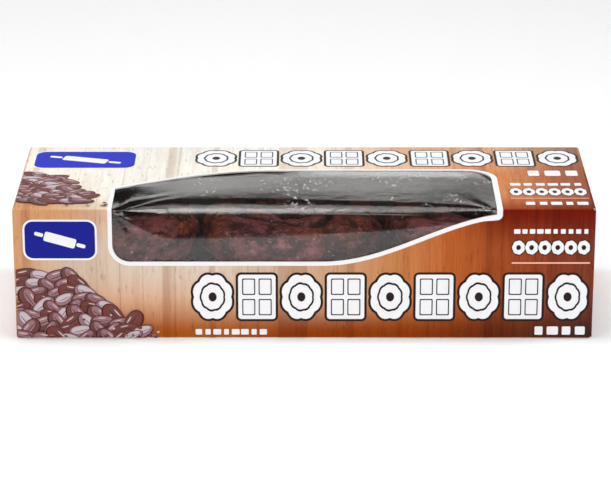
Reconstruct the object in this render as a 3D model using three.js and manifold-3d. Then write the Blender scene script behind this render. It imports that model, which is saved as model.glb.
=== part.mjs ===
// A shut carton of six frosted old-fashioned ring doughnuts, lying on its base.
// Millimetres, +Z up. The origin is the middle of the carton's base.
// The front panel faces -Y. One window runs from the top panel over the front edge into the
// front panel, and a clear film closes it from inside. The doughnuts lie in two layers of three.

import * as THREE from 'three';
import { mergeVertices } from 'three/addons/utils/BufferGeometryUtils.js';
import Module from 'manifold-3d';

const wasm = await Module();
wasm.setup();

// Carton: one folded sheet of board
const LENGTH = 262;
const DEPTH = 90;
const HEIGHT = 62.5;
const BOARD = 0.6;
const FOLD_RADIUS = 1;
const FOLD_STEPS = 3;
const SIDE_FLAP_WIDTH = 30;
const SIDE_FLAP_SETBACK = 2.5;
const TOP_FLAP_EDGE = 16;
const FLAP_RELIEF = 8;
const FUSE = 0.2;

// Window, measured along the panels from the front top edge
const WINDOW_LEFT = -86.4;
const WINDOW_RIGHT = 86.5;
const FRONT_DROP = 25.3;
const FRONT_CORNER_RADIUS = 8;
const SWEEP_START = 8;
const SWEEP_END = 97;
const SWEEP_DROP = 2;
const TOP_LEFT_REACH = 28.2;
const TOP_REACH = 54;
const TOP_CURVE_END = -15;
const TOP_CORNER_RADIUS = 12;
const CURVE_STEPS = 14;
const CORNER_STEPS = 5;
const CUT_DEPTH = 1.5;
const CUT_PROUD = 1;

// Film behind the window
const FILM = 0.3;
const FILM_GAP = 0.3;
const FILM_MARGIN = 8;
const FILM_BEND = 14;
const FILM_PINCH = 0.8;
const FILM_FLARE = 38;
const FILM_STATIONS = 24;
const FILM_BEND_STEPS = 7;

// Doughnuts: frosted rings with a split crown and a petalled rim
const HOLE_RADIUS = 10.5;
const RING_STATIONS = 56;
const CROWN_STEPS = 10;
const BASE_STEPS = 6;
const SECTION_POWER = 2.3;
const CRACK_DEPTH = 6.5;
const CRACK_WIDTH = 0.26;
const CRACK_WANDER = 2.4;
const BASE_CRACK_DEPTH = 2;
const RIM_DROP = 0.16;
const PETAL_NOTCH = 2.6;
const PETAL_NOTCH_WIDTH = 0.11;
const PETAL_DIP = 2;
const RIM_SWAY = 1.4;
const LAYERS = [
  { name: 'lower', middle: 13.4, thickness: 25.6 },
  { name: 'upper', middle: 37.6, thickness: 25.6 },
];
const COLUMNS = [
  { name: 'left', x: -88.7, radii: [39.8, 40.1] },
  { name: 'middle', x: -5.5, radii: [42.4, 42.8] },
  { name: 'right', x: 79.6, radii: [41.5, 41.9] },
];
const RING_Y = 0.3;
const PETALS = [7, 8, 6, 8, 7, 7];

// Finishes
const PRINTED_BOARD = { color: 0x9c6a3f, roughness: 0.55, metalness: 0 };
const CLEAR_FILM = { color: 0xb9bab4, roughness: 0.15, metalness: 0, transparent: true, opacity: 0.45 };
const FROSTING = { color: 0x3b1d16, roughness: 0.45, metalness: 0 };

// Places a shape drawn in (y, z) so that its extrusion runs along +X
const ALONG_X = new THREE.Matrix4().makeBasis(
  new THREE.Vector3(0, 1, 0),
  new THREE.Vector3(0, 0, 1),
  new THREE.Vector3(1, 0, 0),
);
// Places a shape drawn in (x, z) so that its extrusion runs along -Y
const ALONG_MINUS_Y = new THREE.Matrix4().makeBasis(
  new THREE.Vector3(1, 0, 0),
  new THREE.Vector3(0, 0, 1),
  new THREE.Vector3(0, -1, 0),
);

function toSolid(geometry) {
  const bare = geometry.index ? geometry.toNonIndexed() : geometry.clone();
  bare.deleteAttribute('normal');
  bare.deleteAttribute('uv');
  const merged = mergeVertices(bare, 1e-4);
  const vertProperties = new Float32Array(merged.attributes.position.array);
  const triVerts = new Uint32Array(merged.index.array);
  return new wasm.Manifold(new wasm.Mesh({ numProp: 3, vertProperties, triVerts }));
}

function toGeometry(solid) {
  const mesh = solid.getMesh();
  const geometry = new THREE.BufferGeometry();
  geometry.setAttribute('position', new THREE.BufferAttribute(new Float32Array(mesh.vertProperties), 3));
  geometry.setIndex(new THREE.BufferAttribute(new Uint32Array(mesh.triVerts), 1));
  geometry.computeVertexNormals();
  return geometry;
}

function extrude(shape, depth, matrix, curveSegments = FOLD_STEPS) {
  return new THREE.ExtrudeGeometry(shape, { depth, bevelEnabled: false, curveSegments }).applyMatrix4(matrix);
}

function block(low, high) {
  const size = high.map((value, axis) => value - low[axis]);
  const centre = high.map((value, axis) => (value + low[axis]) / 2);
  return new THREE.BoxGeometry(...size).translate(...centre);
}

function roundedRectangle(path, halfWidth, low, high, radius) {
  path.moveTo(-halfWidth + radius, low);
  path.lineTo(halfWidth - radius, low);
  path.absarc(halfWidth - radius, low + radius, radius, -Math.PI / 2, 0);
  path.lineTo(halfWidth, high - radius);
  path.absarc(halfWidth - radius, high - radius, radius, 0, Math.PI / 2);
  path.lineTo(-halfWidth + radius, high);
  path.absarc(-halfWidth + radius, high - radius, radius, Math.PI / 2, Math.PI);
  path.lineTo(-halfWidth, low + radius);
  path.absarc(-halfWidth + radius, low + radius, radius, Math.PI, 1.5 * Math.PI);
  return path;
}

// Front, top, back and base panels, folded round into a tube
function boardTube() {
  const tube = roundedRectangle(new THREE.Shape(), DEPTH / 2, 0, HEIGHT, FOLD_RADIUS);
  const inside = roundedRectangle(
    new THREE.Path(), DEPTH / 2 - BOARD, BOARD, HEIGHT - BOARD, FOLD_RADIUS - BOARD,
  );
  tube.holes.push(inside);
  const length = LENGTH - 2 * BOARD;
  return extrude(tube, length, ALONG_X).translate(-length / 2, 0, 0);
}

// The flap that folds down from the top panel and is glued outside the others
function topFlap() {
  const outer = LENGTH / 2;
  const profile = new THREE.Shape();
  profile.moveTo(outer - BOARD - FUSE, TOP_FLAP_EDGE);
  profile.lineTo(outer, TOP_FLAP_EDGE);
  profile.lineTo(outer, HEIGHT - FOLD_RADIUS);
  profile.absarc(outer - FOLD_RADIUS, HEIGHT - FOLD_RADIUS, FOLD_RADIUS, 0, Math.PI / 2);
  profile.lineTo(outer - FOLD_RADIUS - BOARD, HEIGHT);
  profile.lineTo(outer - FOLD_RADIUS - BOARD, HEIGHT - BOARD / 2);
  profile.lineTo(outer - BOARD - FUSE, HEIGHT - BOARD / 2);
  const width = DEPTH - 2 * FOLD_RADIUS;
  return extrude(profile, width, ALONG_MINUS_Y).translate(0, width / 2, 0);
}

// Slanted cuts at the free corners of the top flap
function flapReliefs() {
  const half = DEPTH / 2;
  const outer = LENGTH / 2;
  return [-1, 1].map((side) => {
    const corner = new THREE.Shape();
    corner.moveTo(side * half, TOP_FLAP_EDGE - CUT_PROUD);
    corner.lineTo(side * half, TOP_FLAP_EDGE + FLAP_RELIEF);
    corner.lineTo(side * (half - FLAP_RELIEF), TOP_FLAP_EDGE - CUT_PROUD);
    return extrude(corner, BOARD + CUT_PROUD, ALONG_X).translate(outer - BOARD, 0, 0);
  });
}

// Side flaps innermost, then the base flap over the whole end, then the top flap
function endClosure() {
  const half = DEPTH / 2 - BOARD + FUSE;
  const face = LENGTH / 2 - BOARD;
  const sides = [-1, 1].map((side) => {
    const edges = [side * half, side * (half - SIDE_FLAP_WIDTH)].sort((a, b) => a - b);
    return block(
      [face - 2 * BOARD, edges[0], SIDE_FLAP_SETBACK],
      [face - BOARD / 2, edges[1], HEIGHT - SIDE_FLAP_SETBACK],
    );
  });
  const base = block([face - BOARD, -half, BOARD - FUSE], [face, half, HEIGHT - BOARD + FUSE]);
  let outside = toSolid(topFlap());
  for (const relief of flapReliefs()) {
    outside = outside.subtract(toSolid(relief));
  }
  return sides.reduce((joined, side) => joined.add(toSolid(side)), toSolid(base)).add(outside);
}

// How far the window reaches down the front panel at x
function frontDrop(x) {
  const run = THREE.MathUtils.clamp((x - SWEEP_START) / (SWEEP_END - SWEEP_START), 0, 1);
  const rise = (1 - Math.cos(Math.PI * run)) / 2;
  return FRONT_DROP - (FRONT_DROP - SWEEP_DROP) * rise;
}

// How far the window reaches back over the top panel at x
function topReach(x) {
  const run = THREE.MathUtils.clamp((x - WINDOW_LEFT) / (TOP_CURVE_END - WINDOW_LEFT), 0, 1);
  return TOP_LEFT_REACH + (TOP_REACH - TOP_LEFT_REACH) * Math.sin(Math.PI / 2 * run);
}

function alongX(from, to, visit) {
  for (let step = 0; step <= CURVE_STEPS; step += 1) {
    visit(THREE.MathUtils.lerp(from, to, step / CURVE_STEPS));
  }
}

// Window outline in the front panel, drawn in (x, z)
function frontWindow() {
  const outline = new THREE.Shape();
  const bottom = HEIGHT - FRONT_DROP;
  outline.moveTo(WINDOW_LEFT, HEIGHT + CUT_PROUD);
  outline.lineTo(WINDOW_LEFT, bottom + FRONT_CORNER_RADIUS);
  outline.absarc(
    WINDOW_LEFT + FRONT_CORNER_RADIUS, bottom + FRONT_CORNER_RADIUS, FRONT_CORNER_RADIUS,
    Math.PI, 1.5 * Math.PI,
  );
  alongX(SWEEP_START, WINDOW_RIGHT, (x) => outline.lineTo(x, HEIGHT - frontDrop(x)));
  outline.lineTo(WINDOW_RIGHT, HEIGHT + CUT_PROUD);
  return extrude(outline, CUT_DEPTH + CUT_PROUD, ALONG_MINUS_Y, CORNER_STEPS)
    .translate(0, -DEPTH / 2 + CUT_DEPTH, 0);
}

// Window outline in the top panel, drawn in (x, y)
function topWindow() {
  const outline = new THREE.Shape();
  const front = -DEPTH / 2;
  outline.moveTo(WINDOW_RIGHT, front - CUT_PROUD);
  outline.lineTo(WINDOW_RIGHT, front + TOP_REACH - TOP_CORNER_RADIUS);
  outline.absarc(
    WINDOW_RIGHT - TOP_CORNER_RADIUS, front + TOP_REACH - TOP_CORNER_RADIUS, TOP_CORNER_RADIUS,
    0, Math.PI / 2,
  );
  alongX(TOP_CURVE_END, WINDOW_LEFT, (x) => outline.lineTo(x, front + topReach(x)));
  outline.lineTo(WINDOW_LEFT, front - CUT_PROUD);
  return extrude(outline, CUT_DEPTH + CUT_PROUD, new THREE.Matrix4(), CORNER_STEPS)
    .translate(0, 0, HEIGHT - CUT_DEPTH);
}

function carton() {
  const end = endClosure();
  const otherEnd = end.mirror([1, 0, 0]);
  const closed = toSolid(boardTube()).add(end).add(otherEnd);
  const cut = closed.subtract(toSolid(frontWindow())).subtract(toSolid(topWindow()));
  return toGeometry(cut);
}

// The film's bend is wide in the middle and pinched into the fold at the window's ends
function filmBendRadius(x) {
  const inward = Math.min(x - WINDOW_LEFT, WINDOW_RIGHT - x) / FILM_FLARE;
  const spread = Math.sin(Math.PI / 2 * THREE.MathUtils.clamp(inward, 0, 1));
  return THREE.MathUtils.lerp(FILM_PINCH, FILM_BEND, spread);
}

// One side of the film's section at x: up the front, round the bend and back under the top
function filmPath(x, inset) {
  const front = -DEPTH / 2 + BOARD + FILM_GAP + inset;
  const top = HEIGHT - BOARD - FILM_GAP - inset;
  const radius = filmBendRadius(x) - inset;
  const points = [[front, HEIGHT - FRONT_DROP - FILM_MARGIN]];
  for (let step = 0; step <= FILM_BEND_STEPS; step += 1) {
    const turn = Math.PI / 2 * step / FILM_BEND_STEPS;
    points.push([front + radius - radius * Math.cos(turn), top - radius + radius * Math.sin(turn)]);
  }
  points.push([-DEPTH / 2 + TOP_REACH + FILM_MARGIN, top]);
  return points;
}

function windowFilm() {
  const low = WINDOW_LEFT - FILM_MARGIN;
  const high = WINDOW_RIGHT + FILM_MARGIN;
  const positions = [];
  const index = [];
  for (let station = 0; station <= FILM_STATIONS; station += 1) {
    const x = THREE.MathUtils.lerp(low, high, station / FILM_STATIONS);
    const loop = [...filmPath(x, 0), ...filmPath(x, FILM).reverse()];
    for (const [y, z] of loop) {
      positions.push(x, y, z);
    }
  }
  const count = positions.length / 3 / (FILM_STATIONS + 1);
  for (let station = 0; station < FILM_STATIONS; station += 1) {
    for (let point = 0; point < count; point += 1) {
      const a = station * count + point;
      const b = station * count + (point + 1) % count;
      index.push(a, b, a + count, b, b + count, a + count);
    }
  }
  const last = FILM_STATIONS * count;
  for (let point = 0; point < count / 2 - 1; point += 1) {
    const across = count - 1 - point;
    index.push(point, across, point + 1, point + 1, across, across - 1);
    index.push(last + point, last + point + 1, last + across);
    index.push(last + point + 1, last + across - 1, last + across);
  }
  return closedGeometry(positions, index);
}

// Turns a closed surface so that it faces outwards
function closedGeometry(positions, index) {
  const geometry = new THREE.BufferGeometry();
  geometry.setAttribute('position', new THREE.Float32BufferAttribute(positions, 3));
  geometry.setIndex(index);
  if (signedVolume(positions, index) < 0) {
    for (let corner = 0; corner < index.length; corner += 3) {
      [index[corner], index[corner + 1]] = [index[corner + 1], index[corner]];
    }
    geometry.setIndex(index);
  }
  geometry.computeVertexNormals();
  return geometry;
}

function signedVolume(positions, index) {
  const corner = (at) => new THREE.Vector3(...positions.slice(3 * at, 3 * at + 3));
  let volume = 0;
  for (let at = 0; at < index.length; at += 3) {
    const [a, b, c] = [corner(index[at]), corner(index[at + 1]), corner(index[at + 2])];
    volume += a.dot(b.cross(c)) / 6;
  }
  return volume;
}

// Repeatable draws between 0 and 1
function drawer(seed) {
  let state = seed;
  return () => {
    state = (state * 1664525 + 1013904223) % 4294967296;
    return state / 4294967296;
  };
}

// What differs from one doughnut to the next
function ringCharacter(seed, petals) {
  const draw = drawer(seed);
  for (let warmUp = 0; warmUp < 4; warmUp += 1) {
    draw();
  }
  const notches = Array.from({ length: petals }, (_, petal) => ({
    angle: (petal + 0.55 * (draw() - 0.5)) * 2 * Math.PI / petals,
    depth: 0.45 + 0.55 * draw(),
  }));
  const phases = Array.from({ length: 6 }, () => 2 * Math.PI * draw());
  return { notches, phases };
}

function notchAt(character, theta) {
  let total = 0;
  for (const { angle, depth } of character.notches) {
    const turn = Math.atan2(Math.sin(theta - angle), Math.cos(theta - angle));
    total += depth * Math.exp(-((turn / PETAL_NOTCH_WIDTH) ** 2) / 2);
  }
  return Math.min(total, 1);
}

// A point of the ring at angle theta; across runs from -1 at the hole to 1 at the rim
function ringPoint(character, size, theta, across, crown) {
  const [p0, p1, p2, p3, p4, p5] = character.phases;
  const notch = notchAt(character, theta);
  const sway = RIM_SWAY * (1 - Math.cos(2 * theta + p0)) / 2;
  const outer = size.radius - sway - PETAL_NOTCH * notch;
  const inner = HOLE_RADIUS + 0.8 * Math.sin(3 * theta + p1);
  const middle = (outer + inner) / 2;
  const half = (outer - inner) / 2;
  const wander = CRACK_WANDER * (0.6 * Math.sin(3 * theta + p2) + 0.4 * Math.sin(8 * theta + p3));
  const radial = middle + half * across + wander * (1 - across * across);
  const bulge = (1 - Math.abs(across) ** SECTION_POWER) ** (1 / SECTION_POWER);
  const crack = Math.exp(-((across / CRACK_WIDTH) ** 2));
  let height = size.thickness / 2 * bulge;
  if (crown) {
    const rim = (across + 1) / 2;
    height *= 1 - RIM_DROP * rim * rim;
    height -= CRACK_DEPTH * crack * (0.75 + 0.25 * Math.sin(5 * theta + p4));
    height -= PETAL_DIP * notch * rim * bulge;
  } else {
    height -= BASE_CRACK_DEPTH * crack * (0.6 + 0.4 * Math.sin(4 * theta + p5));
    height = -height;
  }
  return [radial * Math.cos(theta), radial * Math.sin(theta), height];
}

function doughnut(seed, petals, size) {
  const character = ringCharacter(seed, petals);
  const positions = [];
  const index = [];
  for (let station = 0; station < RING_STATIONS; station += 1) {
    const theta = 2 * Math.PI * station / RING_STATIONS;
    for (let step = 0; step < CROWN_STEPS; step += 1) {
      const across = Math.cos(Math.PI * step / CROWN_STEPS);
      positions.push(...ringPoint(character, size, theta, across, true));
    }
    for (let step = 0; step < BASE_STEPS; step += 1) {
      const across = -Math.cos(Math.PI * step / BASE_STEPS);
      positions.push(...ringPoint(character, size, theta, across, false));
    }
  }
  const count = CROWN_STEPS + BASE_STEPS;
  for (let station = 0; station < RING_STATIONS; station += 1) {
    const next = (station + 1) % RING_STATIONS;
    for (let point = 0; point < count; point += 1) {
      const beside = (point + 1) % count;
      const [a, b] = [station * count + point, station * count + beside];
      const [c, d] = [next * count + point, next * count + beside];
      index.push(a, c, b, b, c, d);
    }
  }
  return closedGeometry(positions, index);
}

function named(name, geometry, finish) {
  const mesh = new THREE.Mesh(geometry, new THREE.MeshStandardMaterial(finish));
  mesh.name = name;
  return mesh;
}

const group = new THREE.Group();
group.add(named('carton', carton(), PRINTED_BOARD));
group.add(named('window_film', windowFilm(), CLEAR_FILM));

LAYERS.forEach((layer, level) => {
  COLUMNS.forEach((column, place) => {
    const number = level * COLUMNS.length + place;
    const size = { radius: column.radii[level], thickness: layer.thickness };
    const ring = named(
      `doughnut_${layer.name}_${column.name}`, doughnut(number + 11, PETALS[number], size), FROSTING,
    );
    ring.position.set(column.x, RING_Y, layer.middle);
    group.add(ring);
  });
});

export default group;
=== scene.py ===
"""A shut carton of six frosted old fashioned doughnuts, seen through a film window over its front edge.

Everything is in metres: +X runs along the carton, +Y to the back and +Z up, with the origin at the
middle of the carton's base. The print lies on the unfolded board, whose place (u, v) is the
distance along the carton from its middle and the distance from the front top edge: v is negative
down the front panel and positive back over the top panel.
"""

import logging
import math
from dataclasses import dataclass, field
from enum import Enum
from typing import Any, Callable, Iterable, Sequence

import bmesh
import bpy
from mathutils import Matrix, Vector, noise


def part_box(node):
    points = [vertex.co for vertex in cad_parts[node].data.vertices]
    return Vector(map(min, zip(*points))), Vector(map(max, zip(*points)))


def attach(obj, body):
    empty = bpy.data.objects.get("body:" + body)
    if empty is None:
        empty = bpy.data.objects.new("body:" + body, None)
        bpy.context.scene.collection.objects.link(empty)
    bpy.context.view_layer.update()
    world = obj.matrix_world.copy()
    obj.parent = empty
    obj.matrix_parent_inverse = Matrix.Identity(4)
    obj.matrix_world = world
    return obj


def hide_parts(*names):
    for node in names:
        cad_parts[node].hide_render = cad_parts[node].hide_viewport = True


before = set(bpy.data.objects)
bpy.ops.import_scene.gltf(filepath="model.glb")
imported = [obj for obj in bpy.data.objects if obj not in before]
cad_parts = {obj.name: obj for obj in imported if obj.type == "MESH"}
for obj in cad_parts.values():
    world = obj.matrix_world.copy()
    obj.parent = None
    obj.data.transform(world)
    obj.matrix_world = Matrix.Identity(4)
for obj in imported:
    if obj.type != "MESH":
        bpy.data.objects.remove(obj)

MM = 0.001
BODY = "root"
Point2 = tuple[float, float]
Span = tuple[float, float]
Face = tuple[int, ...]
Colour = tuple[float, float, float]
Piece = bpy.types.Object
Finish = bpy.types.Material
Socket = bpy.types.NodeSocket
LOG = logging.getLogger("doughnut_carton")


def srgb(red: int, green: int, blue: int) -> Colour:
    """Turns a colour on the usual 0 to 255 scale into the linear values that shaders take.

    Args:
        red: red, 0 to 255.
        green: green, 0 to 255.
        blue: blue, 0 to 255.

    Returns:
        The linear red, green and blue.
    """
    def linear(value: int) -> float:
        """Linear value of one channel."""
        share = value / 255
        return share / 12.92 if share <= 0.04045 else ((share + 0.055) / 1.055) ** 2.4

    return linear(red), linear(green), linear(blue)


def lerp(low: float, high: float, share: float) -> float:
    """Value at a share of the way from low to high."""
    return low + (high - low) * share


def clamp(value: float, low: float = 0.0, high: float = 1.0) -> float:
    """Value kept between low and high."""
    return max(low, min(high, value))


def smooth(value: float, start: float = 0.0, length: float = 1.0) -> float:
    """Soft step from 0 to 1 as value goes on from its start by a length."""
    share = clamp((value - start) / length)
    return share * share * (3 - 2 * share)


def steps(low: float, high: float, count: int) -> list[float]:
    """Values in count equal steps from low to high, both ends included."""
    return [lerp(low, high, index / count) for index in range(count + 1)]


class Draws:
    """Repeatable draws between 0 and 1."""

    def __init__(self, seed: int, skipped: int) -> None:
        """Starts the draws at a whole number, past the first few."""
        self.state = seed
        for _ in range(skipped):
            self.next()

    def next(self) -> float:
        """Next draw, between 0 and 1."""
        self.state = (self.state * 1664525 + 1013904223) % 4294967296
        return self.state / 4294967296

    def between(self, low: float, high: float) -> float:
        """Next draw, between low and high."""
        return lerp(low, high, self.next())


@dataclass(frozen=True)
class CartonSizes:
    """Sizes of the carton and of the window cut in it, in metres."""

    length: float
    depth: float
    height: float
    board: float = 0.6 * MM
    fold_radius: float = 1.0 * MM
    window_left: float = -86.4 * MM
    window_right: float = 86.5 * MM
    front_drop: float = 25.3 * MM
    front_corner: float = 8.0 * MM
    sweep_start: float = 8.0 * MM
    sweep_end: float = 97.0 * MM
    sweep_drop: float = 2.0 * MM
    top_left_reach: float = 28.2 * MM
    top_reach: float = 54.0 * MM
    top_curve_end: float = -15.0 * MM
    top_corner: float = 12.0 * MM

    @classmethod
    def from_frame(cls) -> "CartonSizes":
        """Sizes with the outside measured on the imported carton."""
        low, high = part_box("carton")
        return cls(length=high[0] - low[0], depth=high[1] - low[1], height=high[2] - low[2])

    def drop(self, x: float) -> float:
        """How far the window reaches down the front panel at x.

        Args:
            x: place along the carton.

        Returns:
            The distance from the front top edge.
        """
        if x < self.window_left + self.front_corner:
            beside = self.window_left + self.front_corner - x
            rise = self.front_corner ** 2 - min(beside, self.front_corner) ** 2
            return self.front_drop - self.front_corner + math.sqrt(rise)
        run = clamp((x - self.sweep_start) / (self.sweep_end - self.sweep_start))
        return self.front_drop - (self.front_drop - self.sweep_drop) * (1 - math.cos(math.pi * run)) / 2

    def reach(self, x: float) -> float:
        """How far the window reaches back over the top panel at x.

        Args:
            x: place along the carton.

        Returns:
            The distance from the front top edge.
        """
        if x > self.window_right - self.top_corner:
            beside = x - self.window_right + self.top_corner
            rise = self.top_corner ** 2 - min(beside, self.top_corner) ** 2
            return self.top_reach - self.top_corner + math.sqrt(rise)
        run = clamp((x - self.window_left) / (self.top_curve_end - self.window_left))
        return lerp(self.top_left_reach, self.top_reach, math.sin(math.pi / 2 * run))

    def fold(self, u: float, v: float, lift: float = 0.0) -> Vector:
        """Place on the folded board of a point of the flat sheet.

        Args:
            u: distance along the carton from its middle.
            v: distance round the carton from the front top edge.
            lift: height over the outer face, negative inside the board.

        Returns:
            The point in the carton's frame.
        """
        half = self.depth / 2
        corners = [(-half, 0.0), (-half, self.height), (half, self.height), (half, 0.0)]
        lengths = [self.height, self.depth, self.height, self.depth]
        normals = [(-1.0, 0.0), (0.0, 1.0), (1.0, 0.0), (0.0, -1.0)]
        along = (v + self.height) % (2 * (self.depth + self.height))
        side = 0
        while along > lengths[side]:
            along -= lengths[side]
            side += 1
        radius = self.fold_radius
        normal = normals[side]
        forward = (normal[1], -normal[0])
        start = corners[side]
        if radius <= along <= lengths[side] - radius:
            y = start[0] + forward[0] * along + normal[0] * lift
            z = start[1] + forward[1] * along + normal[1] * lift
            return Vector((u, y, z))
        near = along < radius
        turn = (1 - along / radius if near else (along - lengths[side]) / radius + 1) * math.pi / 4
        across = -math.sin(turn) if near else math.sin(turn)
        centre = radius if near else lengths[side] - radius
        y = start[0] + forward[0] * centre - normal[0] * radius
        z = start[1] + forward[1] * centre - normal[1] * radius
        reach = radius + lift
        y += reach * (normal[0] * math.cos(turn) + forward[0] * across)
        z += reach * (normal[1] * math.cos(turn) + forward[1] * across)
        return Vector((u, y, z))


def grid(columns: int, rows: int, round_rows: bool = False, round_columns: bool = False) -> list[Face]:
    """Faces between points that are listed column by column.

    Args:
        columns: number of columns.
        rows: number of points in each.
        round_rows: True where the last row meets the first.
        round_columns: True where the last column meets the first.

    Returns:
        The faces, column by column.
    """
    faces = []
    for column in range(columns if round_columns else columns - 1):
        low, high = column * rows, (column + 1) % columns * rows
        for row in range(rows if round_rows else rows - 1):
            after = (row + 1) % rows
            faces.append((low + row, high + row, high + after, low + after))
    return faces


def walled(faces: list[Face], shift: int) -> list[Face]:
    """Faces of a sheet that is closed with a second side and with walls along its free edges.

    Args:
        faces: the faces of the first side.
        shift: how much further on in the list of points each point's twin is.

    Returns:
        The faces of the first side, of the second side and of the walls.
    """
    edges = dict.fromkeys((face[place - 1], corner) for face in faces for place, corner in enumerate(face))
    second = [tuple(shift + corner for corner in reversed(face)) for face in faces]
    return faces + second + [(b, a, shift + a, shift + b) for a, b in edges if (b, a) not in edges]


def linked(name: str, data: Any) -> Piece:
    """New object in the scene, made of a mesh, a light or a camera.

    Args:
        name: the object's name.
        data: its mesh, light or camera.

    Returns:
        The object.
    """
    piece = bpy.data.objects.new(name, data)
    bpy.context.scene.collection.objects.link(piece)
    return piece


def mesh_object(
    name: str,
    vertices: Iterable[Sequence[float]],
    faces: Iterable[Sequence[int]],
    smooth_angle: float | None = math.radians(35),
) -> Piece:
    """Makes a mesh object at the origin.

    Args:
        name: the piece's name.
        vertices: the points, in metres.
        faces: the corners of each face.
        smooth_angle: edges flatter than this are shaded smooth, or None for flat faces.

    Returns:
        The object, linked to the scene.
    """
    mesh = bpy.data.meshes.new(name)
    mesh.from_pydata([tuple(vertex) for vertex in vertices], [], [tuple(face) for face in faces])
    mesh.validate()
    if smooth_angle is not None:
        mesh.shade_smooth()
        mesh.set_sharp_from_angle(angle=smooth_angle)
    return linked(name, mesh)


def settle(piece: Piece, slot: str, *nodes: str) -> Piece:
    """Rides a piece on the carton's body and hides the solids that it stands for.

    Args:
        piece: the finished piece.
        slot: not used.
        nodes: the solids that the piece replaces.

    Returns:
        The same piece.
    """
    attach(piece, BODY)
    if nodes:
        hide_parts(*nodes)
    LOG.info("made %s with %d faces", piece.name, len(piece.data.polygons))
    return piece


class Nodes:
    """A node tree under construction, with short ways to add its nodes."""

    def __init__(self, tree: bpy.types.NodeTree) -> None:
        """Takes the tree that the nodes go into."""
        self.nodes, self.links = tree.nodes, tree.links

    def node(self, kind: str, settings: dict[str, Any] | None = None, **inputs: Any) -> bpy.types.Node:
        """Adds a node.

        Args:
            kind: the node's type.
            settings: properties of the node.
            inputs: values or sockets by input name, with underscores for spaces.

        Returns:
            The new node.
        """
        node = self.nodes.new(kind)
        for key, value in (settings or {}).items():
            setattr(node, key, value)
        for key, value in inputs.items():
            self.feed(node.inputs[key.replace("_", " ")], value)
        return node

    def feed(self, socket: Socket, value: Any) -> None:
        """Links a socket into an input, or sets the input's own value.

        Args:
            socket: the input.
            value: a socket, or the input's own value.
        """
        if isinstance(value, Socket):
            self.links.new(value, socket)
        elif socket.type == "RGBA" and len(value) == 3:
            socket.default_value = (*value, 1.0)
        else:
            socket.default_value = value

    def math(self, operation: str, *values: Any, kind: str = "ShaderNodeMath") -> Socket:
        """Result of one step of arithmetic on numbers or sockets.

        Args:
            operation: the kind of arithmetic.
            values: the numbers or sockets that it takes.
            kind: the node's type.

        Returns:
            The result.
        """
        node = self.node(kind, {"operation": operation})
        for socket, value in zip(node.inputs, values):
            self.feed(socket, value)
        return node.outputs[0]

    def times(self, product: Any, *others: Any) -> Socket:
        """Product of numbers.

        Args:
            product: the first number or socket.
            others: those that it is multiplied by.

        Returns:
            The product.
        """
        for other in others:
            product = self.math("MULTIPLY", product, other)
        return product

    def plus(self, first: Any, second: Any) -> Socket:
        """Sum of two numbers."""
        return self.math("ADD", first, second)

    def minus(self, first: Any, second: Any) -> Socket:
        """First number less the second."""
        return self.math("SUBTRACT", first, second)

    def rest(self, share: Any) -> Socket:
        """What a share leaves of 1."""
        return self.minus(1.0, share)

    def size_of(self, value: Any) -> Socket:
        """Number without its sign."""
        return self.math("ABSOLUTE", value)


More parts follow.
